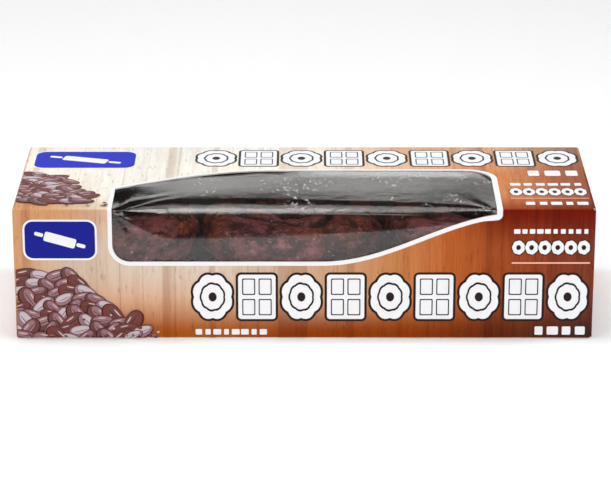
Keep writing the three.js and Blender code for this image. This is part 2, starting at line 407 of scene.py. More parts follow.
class Shading(Nodes):
    """A material under construction."""

    def __init__(self, name: str) -> None:
        """Starts an empty node material."""
        self.material = bpy.data.materials.new(name)
        self.material.use_nodes = True
        super().__init__(self.material.node_tree)
        self.nodes.clear()
        self.output = self.nodes.new("ShaderNodeOutputMaterial")

    def span(self, value: Any, low: float, high: float) -> Socket:
        """Soft step from 0 to 1 as value goes from low to high.

        Args:
            value: the number or socket.
            low: where the step starts.
            high: where it ends.

        Returns:
            The step.
        """
        node = self.node("ShaderNodeMapRange", {"interpolation_type": "SMOOTHSTEP"})
        for name, given in (("Value", value), ("From Min", low), ("From Max", high)):
            self.feed(node.inputs[name], given)
        return node.outputs[0]

    def mix(self, share: Any, first: Any, second: Any, blend: str = "MIX") -> Socket:
        """Mix of two colours.

        Args:
            share: how much of the second colour shows.
            first: the first colour.
            second: the second colour.
            blend: how they are mixed.

        Returns:
            The mixed colour.
        """
        node = self.node("ShaderNodeMix", {"data_type": "RGBA", "blend_type": blend, "clamp_factor": True})
        self.feed(node.inputs[0], share)
        self.feed(node.inputs[6], first)
        self.feed(node.inputs[7], second)
        return node.outputs[2]

    def ramp(self, share: Any, stops: Sequence[tuple[float, Colour]]) -> Socket:
        """Colour along a few named stops, each with its place from 0 to 1.

        Args:
            share: place along the stops.
            stops: each stop's place and colour.

        Returns:
            The colour.
        """
        node = self.node("ShaderNodeValToRGB")
        elements = node.color_ramp.elements
        while len(elements) < len(stops):
            elements.new(1.0)
        for element, (place, colour) in zip(elements, stops):
            element.position = place
            element.color = (*colour, 1.0)
        self.feed(node.inputs[0], share)
        return node.outputs[0]

    def noise(self, place: Any, scale: float, detail: float = 3.0, rough: float = 0.5) -> Socket:
        """Noise between 0 and 1."""
        node = self.node("ShaderNodeTexNoise", Vector=place, Scale=scale, Detail=detail, Roughness=rough)
        return node.outputs[0]

    def stretched(self, place: Any, *scale: float) -> Socket:
        """Coordinates scaled differently along each axis."""
        return self.node("ShaderNodeMapping", Vector=place, Scale=scale).outputs[0]

    def object_place(self) -> Socket:
        """Object coordinates."""
        return self.node("ShaderNodeTexCoord").outputs["Object"]

    def bump(self, height: Any, distance: float, strength: float = 1.0, under: Any = None) -> Socket:
        """Normal raised by a height, over another normal where one is given.

        Args:
            height: the height, as a share of its full size.
            distance: the full size, in metres.
            strength: how strongly it shows.
            under: the normal that it is laid over.

        Returns:
            The raised normal.
        """
        node = self.node("ShaderNodeBump", Height=height, Distance=distance, Strength=strength)
        if under is not None:
            self.feed(node.inputs["Normal"], under)
        return node.outputs[0]

    def finish(self, surface: Socket) -> Finish:
        """Links the surface and gives the material."""
        self.links.new(surface, self.output.inputs["Surface"])
        return self.material

    def coat(self, colour: Any, roughness: Any, normal: Socket, gloss: float = 0.5) -> Finish:
        """Ends the material in an opaque surface.

        Args:
            colour: the surface's colour.
            roughness: how dull it is, 0 to 1.
            normal: its raised normal.
            gloss: its specular level.

        Returns:
            The material.
        """
        return self.finish(self.node(
            "ShaderNodeBsdfPrincipled", Base_Color=colour, Roughness=roughness, Normal=normal,
            Specular_IOR_Level=gloss,
        ).outputs[0])


@dataclass(frozen=True)
class PrintedBoard:
    """Print of upright wood grain under a light varnish: fields of colour that fade into each other."""

    length: float
    tan: Colour = srgb(209, 152, 107)
    oat: Colour = srgb(210, 187, 166)
    linen: Colour = srgb(217, 198, 182)
    wheat: Colour = srgb(203, 168, 140)
    honey: Colour = srgb(199, 132, 82)
    russet: Colour = srgb(186, 98, 44)
    chestnut: Colour = srgb(160, 76, 36)
    mahogany: Colour = srgb(124, 58, 42)
    amber: Colour = srgb(166, 88, 26)
    toffee: Colour = srgb(143, 60, 4)
    bark: Colour = srgb(110, 46, 16)
    umber: Colour = srgb(62, 36, 32)
    ember: Colour = srgb(116, 22, 0)
    # cream to sienna colour the top panel: its print, lightened with painted sheen of the overhead light
    cream: Colour = srgb(248, 240, 222)
    ivory: Colour = srgb(246, 243, 235)
    shell: Colour = srgb(237, 235, 228)
    biscuit: Colour = srgb(216, 173, 135)
    clay: Colour = srgb(148, 112, 96)
    apricot: Colour = srgb(218, 142, 87)
    sienna: Colour = srgb(156, 86, 60)
    varnish_roughness: float = 0.5
    varnish_gloss: float = 0.06
    tooth: float = 0.02 * MM
    warp: float = 0.3 * MM
    turn_blend: float = 0.6 * MM
    low_shade: Colour = (0.82, 0.66, 0.5)
    brink_shade: Colour = (0.66, 0.46, 0.3)
    joint_shade: Colour = (0.62, 0.48, 0.4)

    def material(self) -> Finish:
        """Builds the printed face from the print's own flat coordinates.

        Returns:
            The material.
        """
        shade = Shading("printed_board")
        flat = shade.node("ShaderNodeUVMap", {"uv_map": "print"}).outputs[0]
        parts = shade.node("ShaderNodeSeparateXYZ", Vector=flat)
        u, v = parts.outputs[0], parts.outputs[1]
        along = shade.plus(shade.math("DIVIDE", u, self.length), 0.5)
        front = self._front(shade, along, v)
        on_top = shade.span(v, -self.turn_blend, self.turn_blend)
        colour = shade.mix(on_top, front, self._top(shade, along, v))
        colour = self._grain(shade, colour, along, u, v)
        tooth = shade.bump(shade.noise(flat, 2600.0, 2.0), self.tooth, 0.5)
        warp = shade.bump(shade.noise(flat, 28.0, 1.0), self.warp, 0.6, tooth)
        return shade.coat(colour, self.varnish_roughness, warp, self.varnish_gloss)

    def _front(self, shade: Shading, along: Any, v: Any) -> Socket:
        """Front panel: pale in its middle left, russet to the right and amber along the base.

        Args:
            shade: the material under construction.
            along: share of the carton's length, 0 to 1.
            v: distance round the carton from the front top edge.

        Returns:
            The panel's colour.
        """
        middle = shade.ramp(along, (
            (0.0, self.tan), (0.09, self.oat), (0.23, self.linen), (0.37, self.linen), (0.5, self.wheat),
            (0.65, self.honey), (0.75, self.russet), (0.85, self.chestnut), (1.0, self.mahogany),
        ))
        low = shade.ramp(along, (
            (0.0, self.amber), (0.36, self.amber), (0.5, self.toffee), (0.68, self.toffee), (0.82, self.bark),
            (1.0, self.umber),
        ))
        drop = shade.times(v, -1.0)
        left_half = shade.rest(shade.span(along, 0.4, 0.62))
        warm = shade.times(shade.times(shade.span(drop, 0.028, 0.048), left_half), 0.7)
        middle = shade.mix(warm, middle, self.tan)
        colour = shade.mix(shade.span(drop, 0.041, 0.06), middle, low)
        high = shade.rest(shade.span(drop, 0.0, 0.022))
        red = shade.times(shade.span(along, 0.74, 0.86), high)
        colour = shade.mix(red, colour, self.ember)
        left = shade.rest(shade.span(along, 0.06, 0.24))
        return shade.mix(shade.times(left, high), colour, self.tan)

    def _top(self, shade: Shading, along: Any, v: Any) -> Socket:
        """Top panel: ivory over its left and middle, biscuit and clay to the right, paler than the front
        partly from its print and partly as painted sheen of the overhead light.

        Args:
            shade: the material under construction.
            along: share of the carton's length, 0 to 1.
            v: distance round the carton from the front top edge.

        Returns:
            The panel's colour.
        """
        back = shade.ramp(along, (
            (0.0, self.cream), (0.14, self.shell), (0.34, self.shell), (0.48, self.ivory),
            (0.68, self.biscuit), (0.86, self.biscuit), (1.0, self.clay),
        ))
        near = shade.ramp(along, (
            (0.0, self.cream), (0.2, self.shell), (0.5, self.cream), (0.82, self.apricot), (1.0, self.sienna),
        ))
        colour = shade.mix(shade.span(v, 0.045, 0.085), near, back)
        low = shade.rest(shade.span(v, 0.0, 0.022))
        edge = shade.times(low, shade.plus(0.75, shade.span(along, 0.8, 0.86)))
        colour = shade.mix(edge, colour, self.low_shade, "MULTIPLY")
        brink = shade.times(shade.span(v, 0.013, 0.0), shade.span(along, 0.62, 0.8))
        colour = shade.mix(brink, colour, self.brink_shade, "MULTIPLY")
        left = shade.rest(shade.span(along, 0.04, 0.16))
        near_left = shade.times(left, shade.rest(shade.span(v, 0.008, 0.034)))
        return shade.mix(near_left, colour, self.tan)

    def _grain(self, shade: Shading, colour: Any, along: Any, u: Any, v: Any) -> Socket:
        """Upright grain: fine streaks, soft bands and a few thin dark board joints, stronger to the right.

        Args:
            shade: the material under construction.
            colour: the colour under the grain.
            along: share of the carton's length, 0 to 1.
            u: distance along the carton from its middle.
            v: distance round the carton from the front top edge.

        Returns:
            The colour with its grain.
        """
        flat = shade.node("ShaderNodeCombineXYZ", X=u, Y=v).outputs[0]
        sway = shade.noise(shade.stretched(flat, 1.0, 0.45, 1.0), 70.0, 2.0)
        bent_u = shade.plus(u, shade.times(shade.minus(sway, 0.5), 0.0022))
        bent = shade.node("ShaderNodeCombineXYZ", X=bent_u, Y=v).outputs[0]
        strong = shade.plus(0.2, shade.times(shade.span(along, 0.55, 0.85), 0.3))
        for place, squeeze, scale, detail, rough, low, high, tint, amount in (
            (bent, 0.04, 1500.0, 3.0, 0.6, 0.62, 0.4, (0.76, 0.68, 0.6), strong),
            (flat, 0.07, 260.0, 3.0, 0.6, 0.56, 0.36, (0.7, 0.6, 0.52), strong),
            (flat, 0.1, 55.0, 2.0, 0.5, 0.54, 0.36, (0.74, 0.66, 0.6), strong),
            (bent, 0.14, 800.0, 2.0, 0.6, 0.42, 0.3, (0.6, 0.48, 0.4), 0.55),
        ):
            streaks = shade.noise(shade.stretched(place, 1.0, squeeze, 1.0), scale, detail, rough)
            share = shade.times(shade.span(streaks, low, high), amount)
            colour = shade.mix(share, colour, tint, "MULTIPLY")
        plank = shade.noise(shade.stretched(flat, 1.0, 0.0, 1.0), 48.0, 1.0)
        near = shade.size_of(shade.minus(plank, 0.5))
        line = shade.times(shade.rest(shade.span(near, 0.0, 0.007)), 0.5)
        return shade.mix(line, colour, self.joint_shade, "MULTIPLY")


@dataclass(frozen=True)
class BareBoard:
    """Unprinted board: short fibres in two close shades."""

    name: str
    light: Colour
    dark: Colour

    def material(self) -> Finish:
        """Builds the bare board.

        Returns:
            The material.
        """
        shade = Shading(self.name)
        place = shade.object_place()
        fibres = shade.noise(shade.stretched(place, 0.25, 1.0, 1.0), 1600.0, 4.0, 0.65)
        cloud = shade.noise(place, 60.0, 2.0)
        share = shade.plus(shade.times(fibres, 0.6), shade.times(cloud, 0.4))
        colour = shade.mix(shade.span(share, 0.35, 0.65), self.dark, self.light)
        return shade.coat(colour, 0.85, shade.bump(fibres, 0.04 * MM))


class Ink(Enum):
    """Flat inks of the shapes printed on the wood grain."""

    WHITE = ("ink_white", srgb(236, 236, 238))
    OUTLINE = ("ink_outline", srgb(38, 26, 22))
    BLUE = ("ink_blue", srgb(22, 27, 138))
    BRIGHT_BLUE = ("ink_bright_blue", srgb(14, 34, 186))
    ROSE = ("ink_rose", srgb(240, 176, 150))
    PALE = ("ink_pale", srgb(192, 180, 186))
    MAUVE = ("ink_mauve", srgb(146, 110, 116))
    COCOA = ("ink_cocoa", srgb(108, 66, 66))
    RUST = ("ink_rust", srgb(116, 58, 50))
    DARK = ("ink_dark", srgb(62, 30, 28))
    SHEEN = ("ink_sheen", srgb(206, 180, 176))

    def material(self) -> Finish:
        """Builds the ink: its colour with the faint mottle of print under varnish.

        Returns:
            The material, made once for each ink.
        """
        name, colour = self.value
        if name in bpy.data.materials:
            return bpy.data.materials[name]
        shade = Shading(name)
        place = shade.object_place()
        mottle = shade.times(shade.noise(place, 500.0), 0.3)
        mixed = shade.mix(mottle, colour, tuple(0.86 * channel for channel in colour))
        return shade.coat(mixed, 0.5, shade.bump(shade.noise(place, 28.0, 1.0), 0.3 * MM, 0.6), 0.12)


@dataclass(frozen=True)
class ClearFilm:
    """Clear glossy film: it mirrors more the flatter it is seen, with pale flecks, a painted highlight line
    along its bend, a grey tint over its top as painted shade, and one fine crease.
    """

    tint: Colour = (0.97, 0.965, 0.955)
    # The top tint greys the see-through film over the top: painted shade on what lies under it and on the
    # light that passes it.
    top_shade_tint: Colour = (0.7, 0.68, 0.65)
    pale_spot: Colour = srgb(226, 226, 228)
    head_on: float = 0.05
    roughness: float = 0.16
    shade_tint_heights: Span = (56.8 * MM, 58.2 * MM)
    crease_height: float = 55.4 * MM
    crease_width: float = 0.35 * MM
    # The thin pale line along the lower side of the bend is a painted highlight of the fold.
    highlight_height: float = 58.25 * MM
    highlight_width: float = 0.25 * MM
    highlight_middle: float = -4.0 * MM
    highlight_ends: Span = (62.0 * MM, 45.0 * MM)
    highlight_share: float = 0.14
    spot_heights: Span = (58.5 * MM, 60.5 * MM)
    spot_start: Span = (-70.0 * MM, -45.0 * MM)
    spot_share: float = 0.6

    def material(self) -> Finish:
        """Builds the film as a see-through surface under a reflection that grows at grazing angles.

        Returns:
            The material.
        """
        shade = Shading("clear_film")
        place = shade.object_place()
        parts = shade.node("ShaderNodeSeparateXYZ", Vector=place)
        facing = shade.node("ShaderNodeLayerWeight", Blend=0.5).outputs["Facing"]
        grazing = shade.math("POWER", facing, 5.0)
        share = shade.plus(shade.times(grazing, 1 - self.head_on), self.head_on)
        crinkle = shade.noise(shade.stretched(place, 1.0, 1.6, 1.6), 130.0, 4.0, 0.55)
        normal = shade.bump(crinkle, 0.35 * MM, 0.5)
        beside = shade.size_of(shade.minus(parts.outputs[2], self.crease_height))
        line = shade.rest(shade.span(beside, 0.0, self.crease_width))
        stretch = shade.noise(shade.stretched(place, 1.0, 0.0, 0.0), 17.0, 0.0)
        line = shade.times(line, shade.span(stretch, 0.5, 0.56))
        normal = shade.bump(line, 0.16 * MM, under=normal)
        # Over the top the film's see-through colour turns grey: painted shade on what is seen and lit through
        # it.
        tint = shade.mix(shade.span(parts.outputs[2], *self.shade_tint_heights), self.tint, self.top_shade_tint)
        clear = shade.node("ShaderNodeBsdfTransparent", Color=tint).outputs[0]
        gloss = shade.node("ShaderNodeBsdfGlossy", Roughness=self.roughness, Normal=normal).outputs[0]
        film = self._over(shade, share, clear, gloss)
        pale_surface = shade.node("ShaderNodeBsdfDiffuse", Color=self.pale_spot).outputs[0]
        # Pale flecks and the painted highlight line along the bend, laid over the film as a pale diffuse
        # surface.
        overlay_share = shade.plus(self._pale_spots(shade, place, parts), self._painted_highlight(shade, parts))
        return shade.finish(self._over(shade, overlay_share, film, pale_surface))

    def _over(self, shade: Shading, share: Any, under: Any, over: Any) -> Socket:
        """One surface laid over another by a share.

        Args:
            shade: the material under construction.
            share: how much of the upper surface shows.
            under: the lower surface.
            over: the upper surface.

        Returns:
            The mixed surface.
        """
        mixed = shade.node("ShaderNodeMixShader", Fac=share)
        shade.links.new(under, mixed.inputs[1])
        shade.links.new(over, mixed.inputs[2])
        return mixed.outputs[0]

    def _painted_highlight(self, shade: Shading, parts: bpy.types.Node) -> Socket:
        """Share of the thin pale line painted along the lower side of the bend: a painted highlight of the
        fold.

        Args:
            shade: the material under construction.
            parts: the node that gives x, y and z.

        Returns:
            The share.
        """
        beside = shade.size_of(shade.minus(parts.outputs[2], self.highlight_height))
        line = shade.rest(shade.span(beside, 0.0, self.highlight_width))
        off_middle = shade.size_of(shade.minus(parts.outputs[0], self.highlight_middle))
        return shade.times(line, shade.span(off_middle, *self.highlight_ends), self.highlight_share)

    def _pale_spots(self, shade: Shading, place: Any, parts: bpy.types.Node) -> Socket:
        """Share of pale diffuse flecks in a few clusters on the film's top, right of its left end.

        Args:
            shade: the material under construction.
            place: object coordinates.
            parts: the node that gives x, y and z.

        Returns:
            The share.
        """
        place = shade.node("ShaderNodeMapping", Vector=place, Location=(-0.026, 0.0, 0.0)).outputs[0]
        fleck = shade.noise(shade.stretched(place, 1.0, 0.6, 1.0), 560.0, 4.0, 0.65)
        cluster = shade.noise(place, 46.0, 1.0)
        spots = shade.times(shade.span(fleck, 0.56, 0.67), shade.span(cluster, 0.47, 0.6))
        on_top = shade.span(parts.outputs[2], *self.spot_heights)
        return shade.times(spots, on_top, shade.span(parts.outputs[0], *self.spot_start), self.spot_share)


@dataclass(frozen=True)
class Frosting:
    """Chocolate frosting: red-brown and purple glaze in broad fields with patches of painted sheen, painted
    shade along its dark cracks, low crags darkened partly by pooled frosting and partly by painted shade, and
    grainy bare crumb.
    """

    deep: Colour = srgb(40, 13, 9)
    coat: Colour = srgb(107, 42, 24)
    glaze: Colour = srgb(146, 79, 84)
    sheen_colour: Colour = srgb(166, 112, 118)
    fleck: Colour = srgb(212, 152, 122)
    crumb: Colour = srgb(158, 84, 44)
    crust: Colour = srgb(92, 38, 20)
    grit_shade: Colour = (0.6, 0.52, 0.5)
    roughness: float = 0.48
    gloss: float = 0.2

    def material(self) -> Finish:
        """Builds the frosting from the crag height kept on the mesh and from noise in place.

        Returns:
            The material.
        """
        shade = Shading("frosting")
        place = shade.object_place()
        flattened = shade.stretched(place, 1.0, 1.0, 1.8)
        crag = shade.node("ShaderNodeAttribute", {"attribute_name": "crag"}).outputs["Fac"]
        fields = shade.noise(shade.stretched(place, 1.0, 1.0, 1.5), 27.0, 3.0, 0.55)
        patches = shade.noise(flattened, 38.0, 4.0, 0.6)
        cloud = shade.noise(flattened, 120.0, 4.0, 0.65)
        grain = shade.noise(place, 420.0, 3.0, 0.7)
        grit = shade.noise(place, 1100.0, 3.0, 0.7)
        colour = shade.mix(shade.span(fields, 0.4, 0.56), self.coat, self.glaze)
        # Patches of painted sheen: soft reflections of the glaze painted in pale pink.
        sheen = shade.times(shade.span(cloud, 0.46, 0.68), 0.55)
        colour = shade.mix(sheen, colour, self.sheen_colour)
        overlay_share = shade.times(shade.span(patches, 0.53, 0.62), shade.span(crag, 0.25, 0.6))
        bare = shade.mix(shade.span(grain, 0.42, 0.6), self.crust, self.crumb)
        colour = shade.mix(overlay_share, colour, bare)
        # Low crags turn deep brown: partly the thicker frosting that pools there, partly painted shade in the
        # crevices.
        colour = shade.mix(shade.times(shade.span(crag, 0.57, 0.15), 0.9), colour, self.deep)
        specks = shade.span(shade.noise(place, 760.0, 2.0, 0.6), 0.64, 0.71)
        colour = shade.mix(shade.times(specks, 0.75), colour, self.fleck)
        crack = shade.node("ShaderNodeAttribute", {"attribute_name": "crack"}).outputs["Fac"]
        # Painted shade along the split of the crown, in the deep brown.
        colour = shade.mix(shade.times(shade.span(crack, 0.25, 0.75), 0.9), colour, self.deep)
        colour = shade.mix(shade.span(grit, 0.58, 0.4), colour, self.grit_shade, "MULTIPLY")
        rough = shade.plus(self.roughness, shade.times(overlay_share, 0.3))
        return shade.coat(colour, rough, shade.bump(grain, 0.5 * MM, 0.6), self.gloss)


@dataclass(frozen=True)
class Crumb:
    """Loose flakes of set icing and crumb."""

    light: Colour = srgb(206, 182, 166)
    dark: Colour = srgb(120, 70, 44)

    def material(self) -> Finish:
        """Builds the flakes' colour, from pale icing to brown crumb.

        Returns:
            The material.
        """
        shade = Shading("crumb")
        place = shade.object_place()
        share = shade.span(shade.noise(place, 260.0, 1.0), 0.4, 0.6)
        colour = shade.mix(share, self.dark, self.light)
        return shade.coat(colour, 0.55, shade.bump(shade.noise(place, 3000.0, 2.0), 0.1 * MM))


class Graph(Nodes):
    """A Geometry Nodes tree under construction, with named inputs."""

    def __init__(self, name: str) -> None:
        """Starts a tree with a geometry input and output."""
        self.tree = bpy.data.node_groups.new(name, "GeometryNodeTree")
        super().__init__(self.tree)
        self.identifiers: dict[str, str] = {}
        self.values: dict[str, Any] = {}
        self.source = self.nodes.new("NodeGroupInput")
        self.result = self.nodes.new("NodeGroupOutput")
        for way in ("INPUT", "OUTPUT"):
            self.tree.interface.new_socket("Geometry", in_out=way, socket_type="NodeSocketGeometry")

    @property
    def start(self) -> Socket:
        """Geometry that the tree starts from."""
        return self.source.outputs["Geometry"]

    def given(self, name: str, kind: str, value: Any) -> Socket:
        """Adds a named input with its value.

        Args:
            name: the input's name.
            kind: Float, Int, Vector, Object or Material.
            value: what this piece sets it to.

        Returns:
            The socket that carries the value in the tree.
        """
        item = self.tree.interface.new_socket(name, in_out="INPUT", socket_type=f"NodeSocket{kind}")
        self.identifiers[name] = item.identifier
        self.values[name] = value
        return self.source.outputs[name]

    def stretched(self, vector: Any, scale: Any) -> Socket:
        """Vector times another, axis by axis."""
        return self.math("MULTIPLY", vector, scale, kind="ShaderNodeVectorMath")

    def scaled(self, vector: Any, length: Any) -> Socket:
        """Vector times a number.

        Args:
            vector: the vector.
            length: the number.

        Returns:
            The scaled vector.
        """
        node = self.node("ShaderNodeVectorMath", {"operation": "SCALE"}, Scale=length)
        self.feed(node.inputs[0], vector)
        return node.outputs[0]

    def random(self, low: Any, high: Any, seed: Any) -> Socket:
        """Random number for each element.

        Args:
            low: the least value.
            high: the greatest value.
            seed: sets the draws apart.

        Returns:
            The random number.
        """
        node = self.node("FunctionNodeRandomValue", {"data_type": "FLOAT"}, Seed=seed)
        self.feed(node.inputs[2], low)
        self.feed(node.inputs[3], high)
        return node.outputs[1]

    def close(self, geometry: Socket, material: Socket) -> None:
        """Ends the tree in Realize Instances and Set Material.

        Args:
            geometry: what the tree has made.
            material: the material of all of it.
        """
        real = self.node("GeometryNodeRealizeInstances", Geometry=geometry)
        dressed = self.node("GeometryNodeSetMaterial", Geometry=real.outputs[0], Material=material)
        self.links.new(dressed.outputs[0], self.result.inputs[0])

    def run(self, name: str, start: Piece) -> Piece:
        """Runs the tree on an object and keeps the result as a plain mesh.

        Args:
            name: the new piece's name.
            start: the object that the tree starts from, removed afterwards.

        Returns:
            The new piece, with no modifier.
        """
        modifier = start.modifiers.new(self.tree.name, "NODES")
        modifier.node_group = self.tree
        for key, value in self.values.items():
            modifier[self.identifiers[key]] = value
        bpy.context.view_layer.update()
        graph = bpy.context.evaluated_depsgraph_get()
        mesh = bpy.data.meshes.new_from_object(start.evaluated_get(graph), depsgraph=graph)
        mesh.name = name
        bpy.data.objects.remove(start)
        return linked(name, mesh)


@dataclass
class FoldedBoard:
    """The carton's board: four panels folded round, with the window cut out and both ends flapped."""

    sizes: CartonSizes
    corner_steps: int = 10
    sweep_steps: int = 44
    plain_steps: int = 6
    panel_steps: int = 5
    fold_steps: int = 4
    top_flap_edge: float = 16.0 * MM
    flap_inset: float = 0.75 * MM
    upright_reach: float = 1.0 * MM
    flap_relief: float = 8.0 * MM
    side_flap: float = 30.0 * MM
    side_flap_clear: float = 3.0 * MM
    side_flap_slant: float = 3.0 * MM
    base_flap_clear: float = 0.2 * MM
    air: float = 0.04 * MM
    reach_start: float = 0.7 * MM
    reach_blend: float = 0.3 * MM
    end_grain_start: float = 86.0 * MM
    facing_out: float = 0.3
    facing_up: float = 0.6

    def __post_init__(self) -> None:
        """Makes the finishes of the printed face, of the cut edges and of the inner face."""
        self.printed = PrintedBoard(self.sizes.length).material()
        self.bare = BareBoard("cut_board", srgb(222, 216, 206), srgb(186, 178, 166)).material()
        # The lining is darker than the cut edges: grey board inside, and painted shade for the carton's dim
        # inside.
        self.lining = BareBoard("board_lining", srgb(178, 166, 156), srgb(144, 132, 122)).material()

    def build(self) -> list[Piece]:
        """Makes the folded tube and the flaps of both ends.

        Returns:
            The finished pieces.
        """
        pieces = [self._tube()]
        for side, word in ((-1, "left"), (1, "right")):
            pieces += self._flaps(side, word)
        return [settle(piece, "printed_board", "carton") for piece in pieces]

    def _columns(self) -> list[float]:
        """Places along the carton where the board's mesh has a line of points.

        Returns:
            The places, from left to right.
        """
        size = self.sizes
        end = size.length / 2 - 2 * size.board
        left, right = size.window_left, size.window_right
        turns = steps(0, math.pi / 2, self.corner_steps)
        corner = [left + size.front_corner * (1 - math.cos(turn)) for turn in turns]
        bend = [right - size.top_corner * (1 - math.sin(turn)) for turn in turns]
        columns = steps(-end, left, self.plain_steps)[:-1] + corner
        columns += steps(left + size.front_corner, right - size.top_corner, self.sweep_steps)[1:]
        return columns + bend[1:] + steps(right, end, self.plain_steps)[1:]

    def _rows(self, x: float) -> tuple[list[float], list[float]]:
        """Rows of the mesh at x: those of the board that is there all along, and those of the gap.

        Args:
            x: place along the carton.

        Returns:
            The rows from the window's back edge round to its front edge, and the rows between.
        """
        size = self.sizes
        inside = clamp(x, size.window_left, size.window_right)
        start, end = size.reach(inside), 2 * (size.depth + size.height) - size.drop(inside)
        corners = [size.depth, size.depth + size.height, 2 * size.depth + size.height]
        rows = [start]
        for corner in corners:
            rows += steps(rows[-1], corner - size.fold_radius, self.panel_steps)[1:]
            rows += steps(corner - size.fold_radius, corner + size.fold_radius, self.fold_steps)[1:]
        rows += steps(rows[-1], end, self.panel_steps)[1:]
        gap = steps(-size.drop(inside), -size.fold_radius, self.panel_steps)[1:]
        gap += steps(-size.fold_radius, size.fold_radius, self.fold_steps)[1:]
        gap += steps(size.fold_radius, size.reach(inside), self.panel_steps)[1:-1]
        return rows, gap

    def _tube(self) -> Piece:
        """The four folded panels as one closed sheet with an outer and an inner face.

        Returns:
            The folded panels.
        """
        size, columns = self.sizes, self._columns()
        band, gap = (len(rows) for rows in self._rows(0.0))
        count, end = band + gap, columns[-1] - size.board
        vertices: list[Vector] = []
        flat: list[Point2] = []
        for lift in (0.0, -size.board):
            for x in columns:
                rows, between = self._rows(x)
                for v in rows + between:
                    point = size.fold(x, v, lift)
                    if abs(x) > end:
                        point.x += math.copysign(self._end_reach(point.z), x)
                    vertices.append(point)
                    flat.append((x, self._print_row(v)))
        middles = [(before + after) / 2 for before, after in zip(columns, columns[1:])]
        outer = [
            face for index, face in enumerate(grid(len(columns), count, True))
            if index % count < band - 1 or not size.window_left < middles[index // count] < size.window_right
        ]
        piece = mesh_object("board_panels", vertices, walled(outer, len(columns) * count))
        for finish in (self.printed, self.bare, self.lining):
            piece.data.materials.append(finish)
        layer = piece.data.uv_layers.new(name="print")
        for polygon in piece.data.polygons:
            if len(outer) <= polygon.index < 2 * len(outer):
                polygon.material_index = 2
            elif polygon.index >= 2 * len(outer) and abs(polygon.center.x) < end:
                polygon.material_index = 1
            for loop in polygon.loop_indices:
                layer.data[loop].uv = flat[piece.data.loops[loop].vertex_index]
        turn_outwards(piece)
        return piece

    def _end_reach(self, z: float) -> float:
        """How much further the upright panels reach at the ends than the top and the base."""
        level = min(z, self.sizes.height - z)
        return self.upright_reach * smooth(level, self.reach_start, self.reach_blend)

    def _print_row(self, v: float) -> float:
        """Row of the print at v, counted down the front instead of round the back."""
        size = self.sizes
        return v - 2 * (size.depth + size.height) if v > 2 * size.depth + size.height else v

    def _flaps(self, side: int, word: str) -> list[Piece]:
        """The flaps that close one end, from the inside out.

        Args:
            side: -1 for the left end, 1 for the right.
            word: left or right, for the names.

        Returns:
            The two side flaps, the base flap and the top flap.
        """
        board, high = self.sizes.board, self.sizes.height
        face = self.sizes.length / 2 - 2 * board
        wide = self.sizes.depth / 2 - self.flap_inset
        foot, slant = self.side_flap_clear, self.side_flap_clear + self.side_flap_slant
        pieces = []
        for turn, place in ((-1, "front"), (1, "back")):
            edge = turn * (wide - board)
            free = edge - turn * self.side_flap
            outline = [(edge, foot), (edge, high - foot), (free, high - slant), (free, slant)]
            name = f"side_flap_{place}_{word}"
            pieces.append(self._flap(name, side, outline, face - board, face - self.air))
        low, top = self.base_flap_clear, high - 2 * board
        outline = [(-wide, low), (wide, low), (wide, top), (-wide, top)]
        pieces.append(self._flap(f"base_flap_{word}", side, outline, face, face + board - self.air))
        pieces.append(self._top_flap(f"top_flap_{word}", side))
        return pieces

    def _flap(self, name: str, side: int, outline: list[Point2], inner: float, outer: float) -> Piece:
        """A flat flap that stands across the end.

        Args:
            name: the piece's name.
            side: -1 for the left end, 1 for the right.
            outline: corners in (y, z).
            inner: distance of its inner face from the carton's middle.
            outer: distance of its outer face.

        Returns:
            The flap.
        """
        vertices = [(side * x, y, z) for x in (inner, outer) for y, z in outline]
        faces = walled([tuple(range(len(outline)))], len(outline))
        return self._print_end(mesh_object(name, vertices, faces, None), side)

    def _top_flap(self, name: str, side: int) -> Piece:
        """The outermost flap, folded down from the top panel, with slanted free corners.

        Args:
            name: the piece's name.
            side: -1 for the left end, 1 for the right.

        Returns:
            The flap.
        """
        size, wide, radius = self.sizes, self.sizes.depth / 2 - self.flap_inset, 2 * self.sizes.board
        vertices: list[Vector] = []
        for under in (0.0, size.board - self.air):
            face, reach = size.length / 2 - under, radius - under
            for turn in steps(0, math.pi / 2, self.fold_steps + 2):
                x = size.length / 2 - radius + math.sin(turn) * reach
                z = size.height - radius + math.cos(turn) * reach
                vertices += [Vector((side * x, y, z)) for y in (-wide, wide)]
            for rise, edge in ((self.flap_relief, wide), (0.0, wide - self.flap_relief)):
                vertices += [Vector((side * face, y, self.top_flap_edge + rise)) for y in (-edge, edge)]
        half = len(vertices) // 2
        return self._print_end(mesh_object(name, vertices, walled(grid(half // 2, 2), half)), side)

    def _print_end(self, piece: Piece, side: int) -> Piece:
        """Gives a flap its print, with the grain upright, and bare board on its other faces.

        Args:
            piece: the flap.
            side: -1 for the left end, 1 for the right.

        Returns:
            The same flap.
        """
        turn_outwards(piece)
        piece.data.materials.append(self.printed)
        piece.data.materials.append(self.bare)
        layer = piece.data.uv_layers.new(name="print")
        near_top = self.sizes.height - 4 * self.sizes.board
        for polygon in piece.data.polygons:
            folded = polygon.normal.z > self.facing_up and polygon.center.z > near_top
            outward = folded or side * polygon.normal.x > self.facing_out
            polygon.material_index = 0 if outward else 1
            for loop in polygon.loop_indices:
                point = piece.data.vertices[piece.data.loops[loop].vertex_index].co
                layer.data[loop].uv = (side * (self.end_grain_start - point.y), point.z - self.sizes.height)
        return piece


def turn_outwards(piece: Piece) -> None:
    """Makes all faces of a closed piece point outwards.

    Args:
        piece: the closed piece.
    """
    work = bmesh.new()
    work.from_mesh(piece.data)
    bmesh.ops.recalc_face_normals(work, faces=work.faces)
    work.to_mesh(piece.data)
    work.free()


@dataclass
class Shape:
    """A flat printed shape: an outline with holes, at its height in the stack of inks."""

    outline: list[Point2]
    holes: list[list[Point2]] = field(default_factory=list)
    layer: float = 0.0


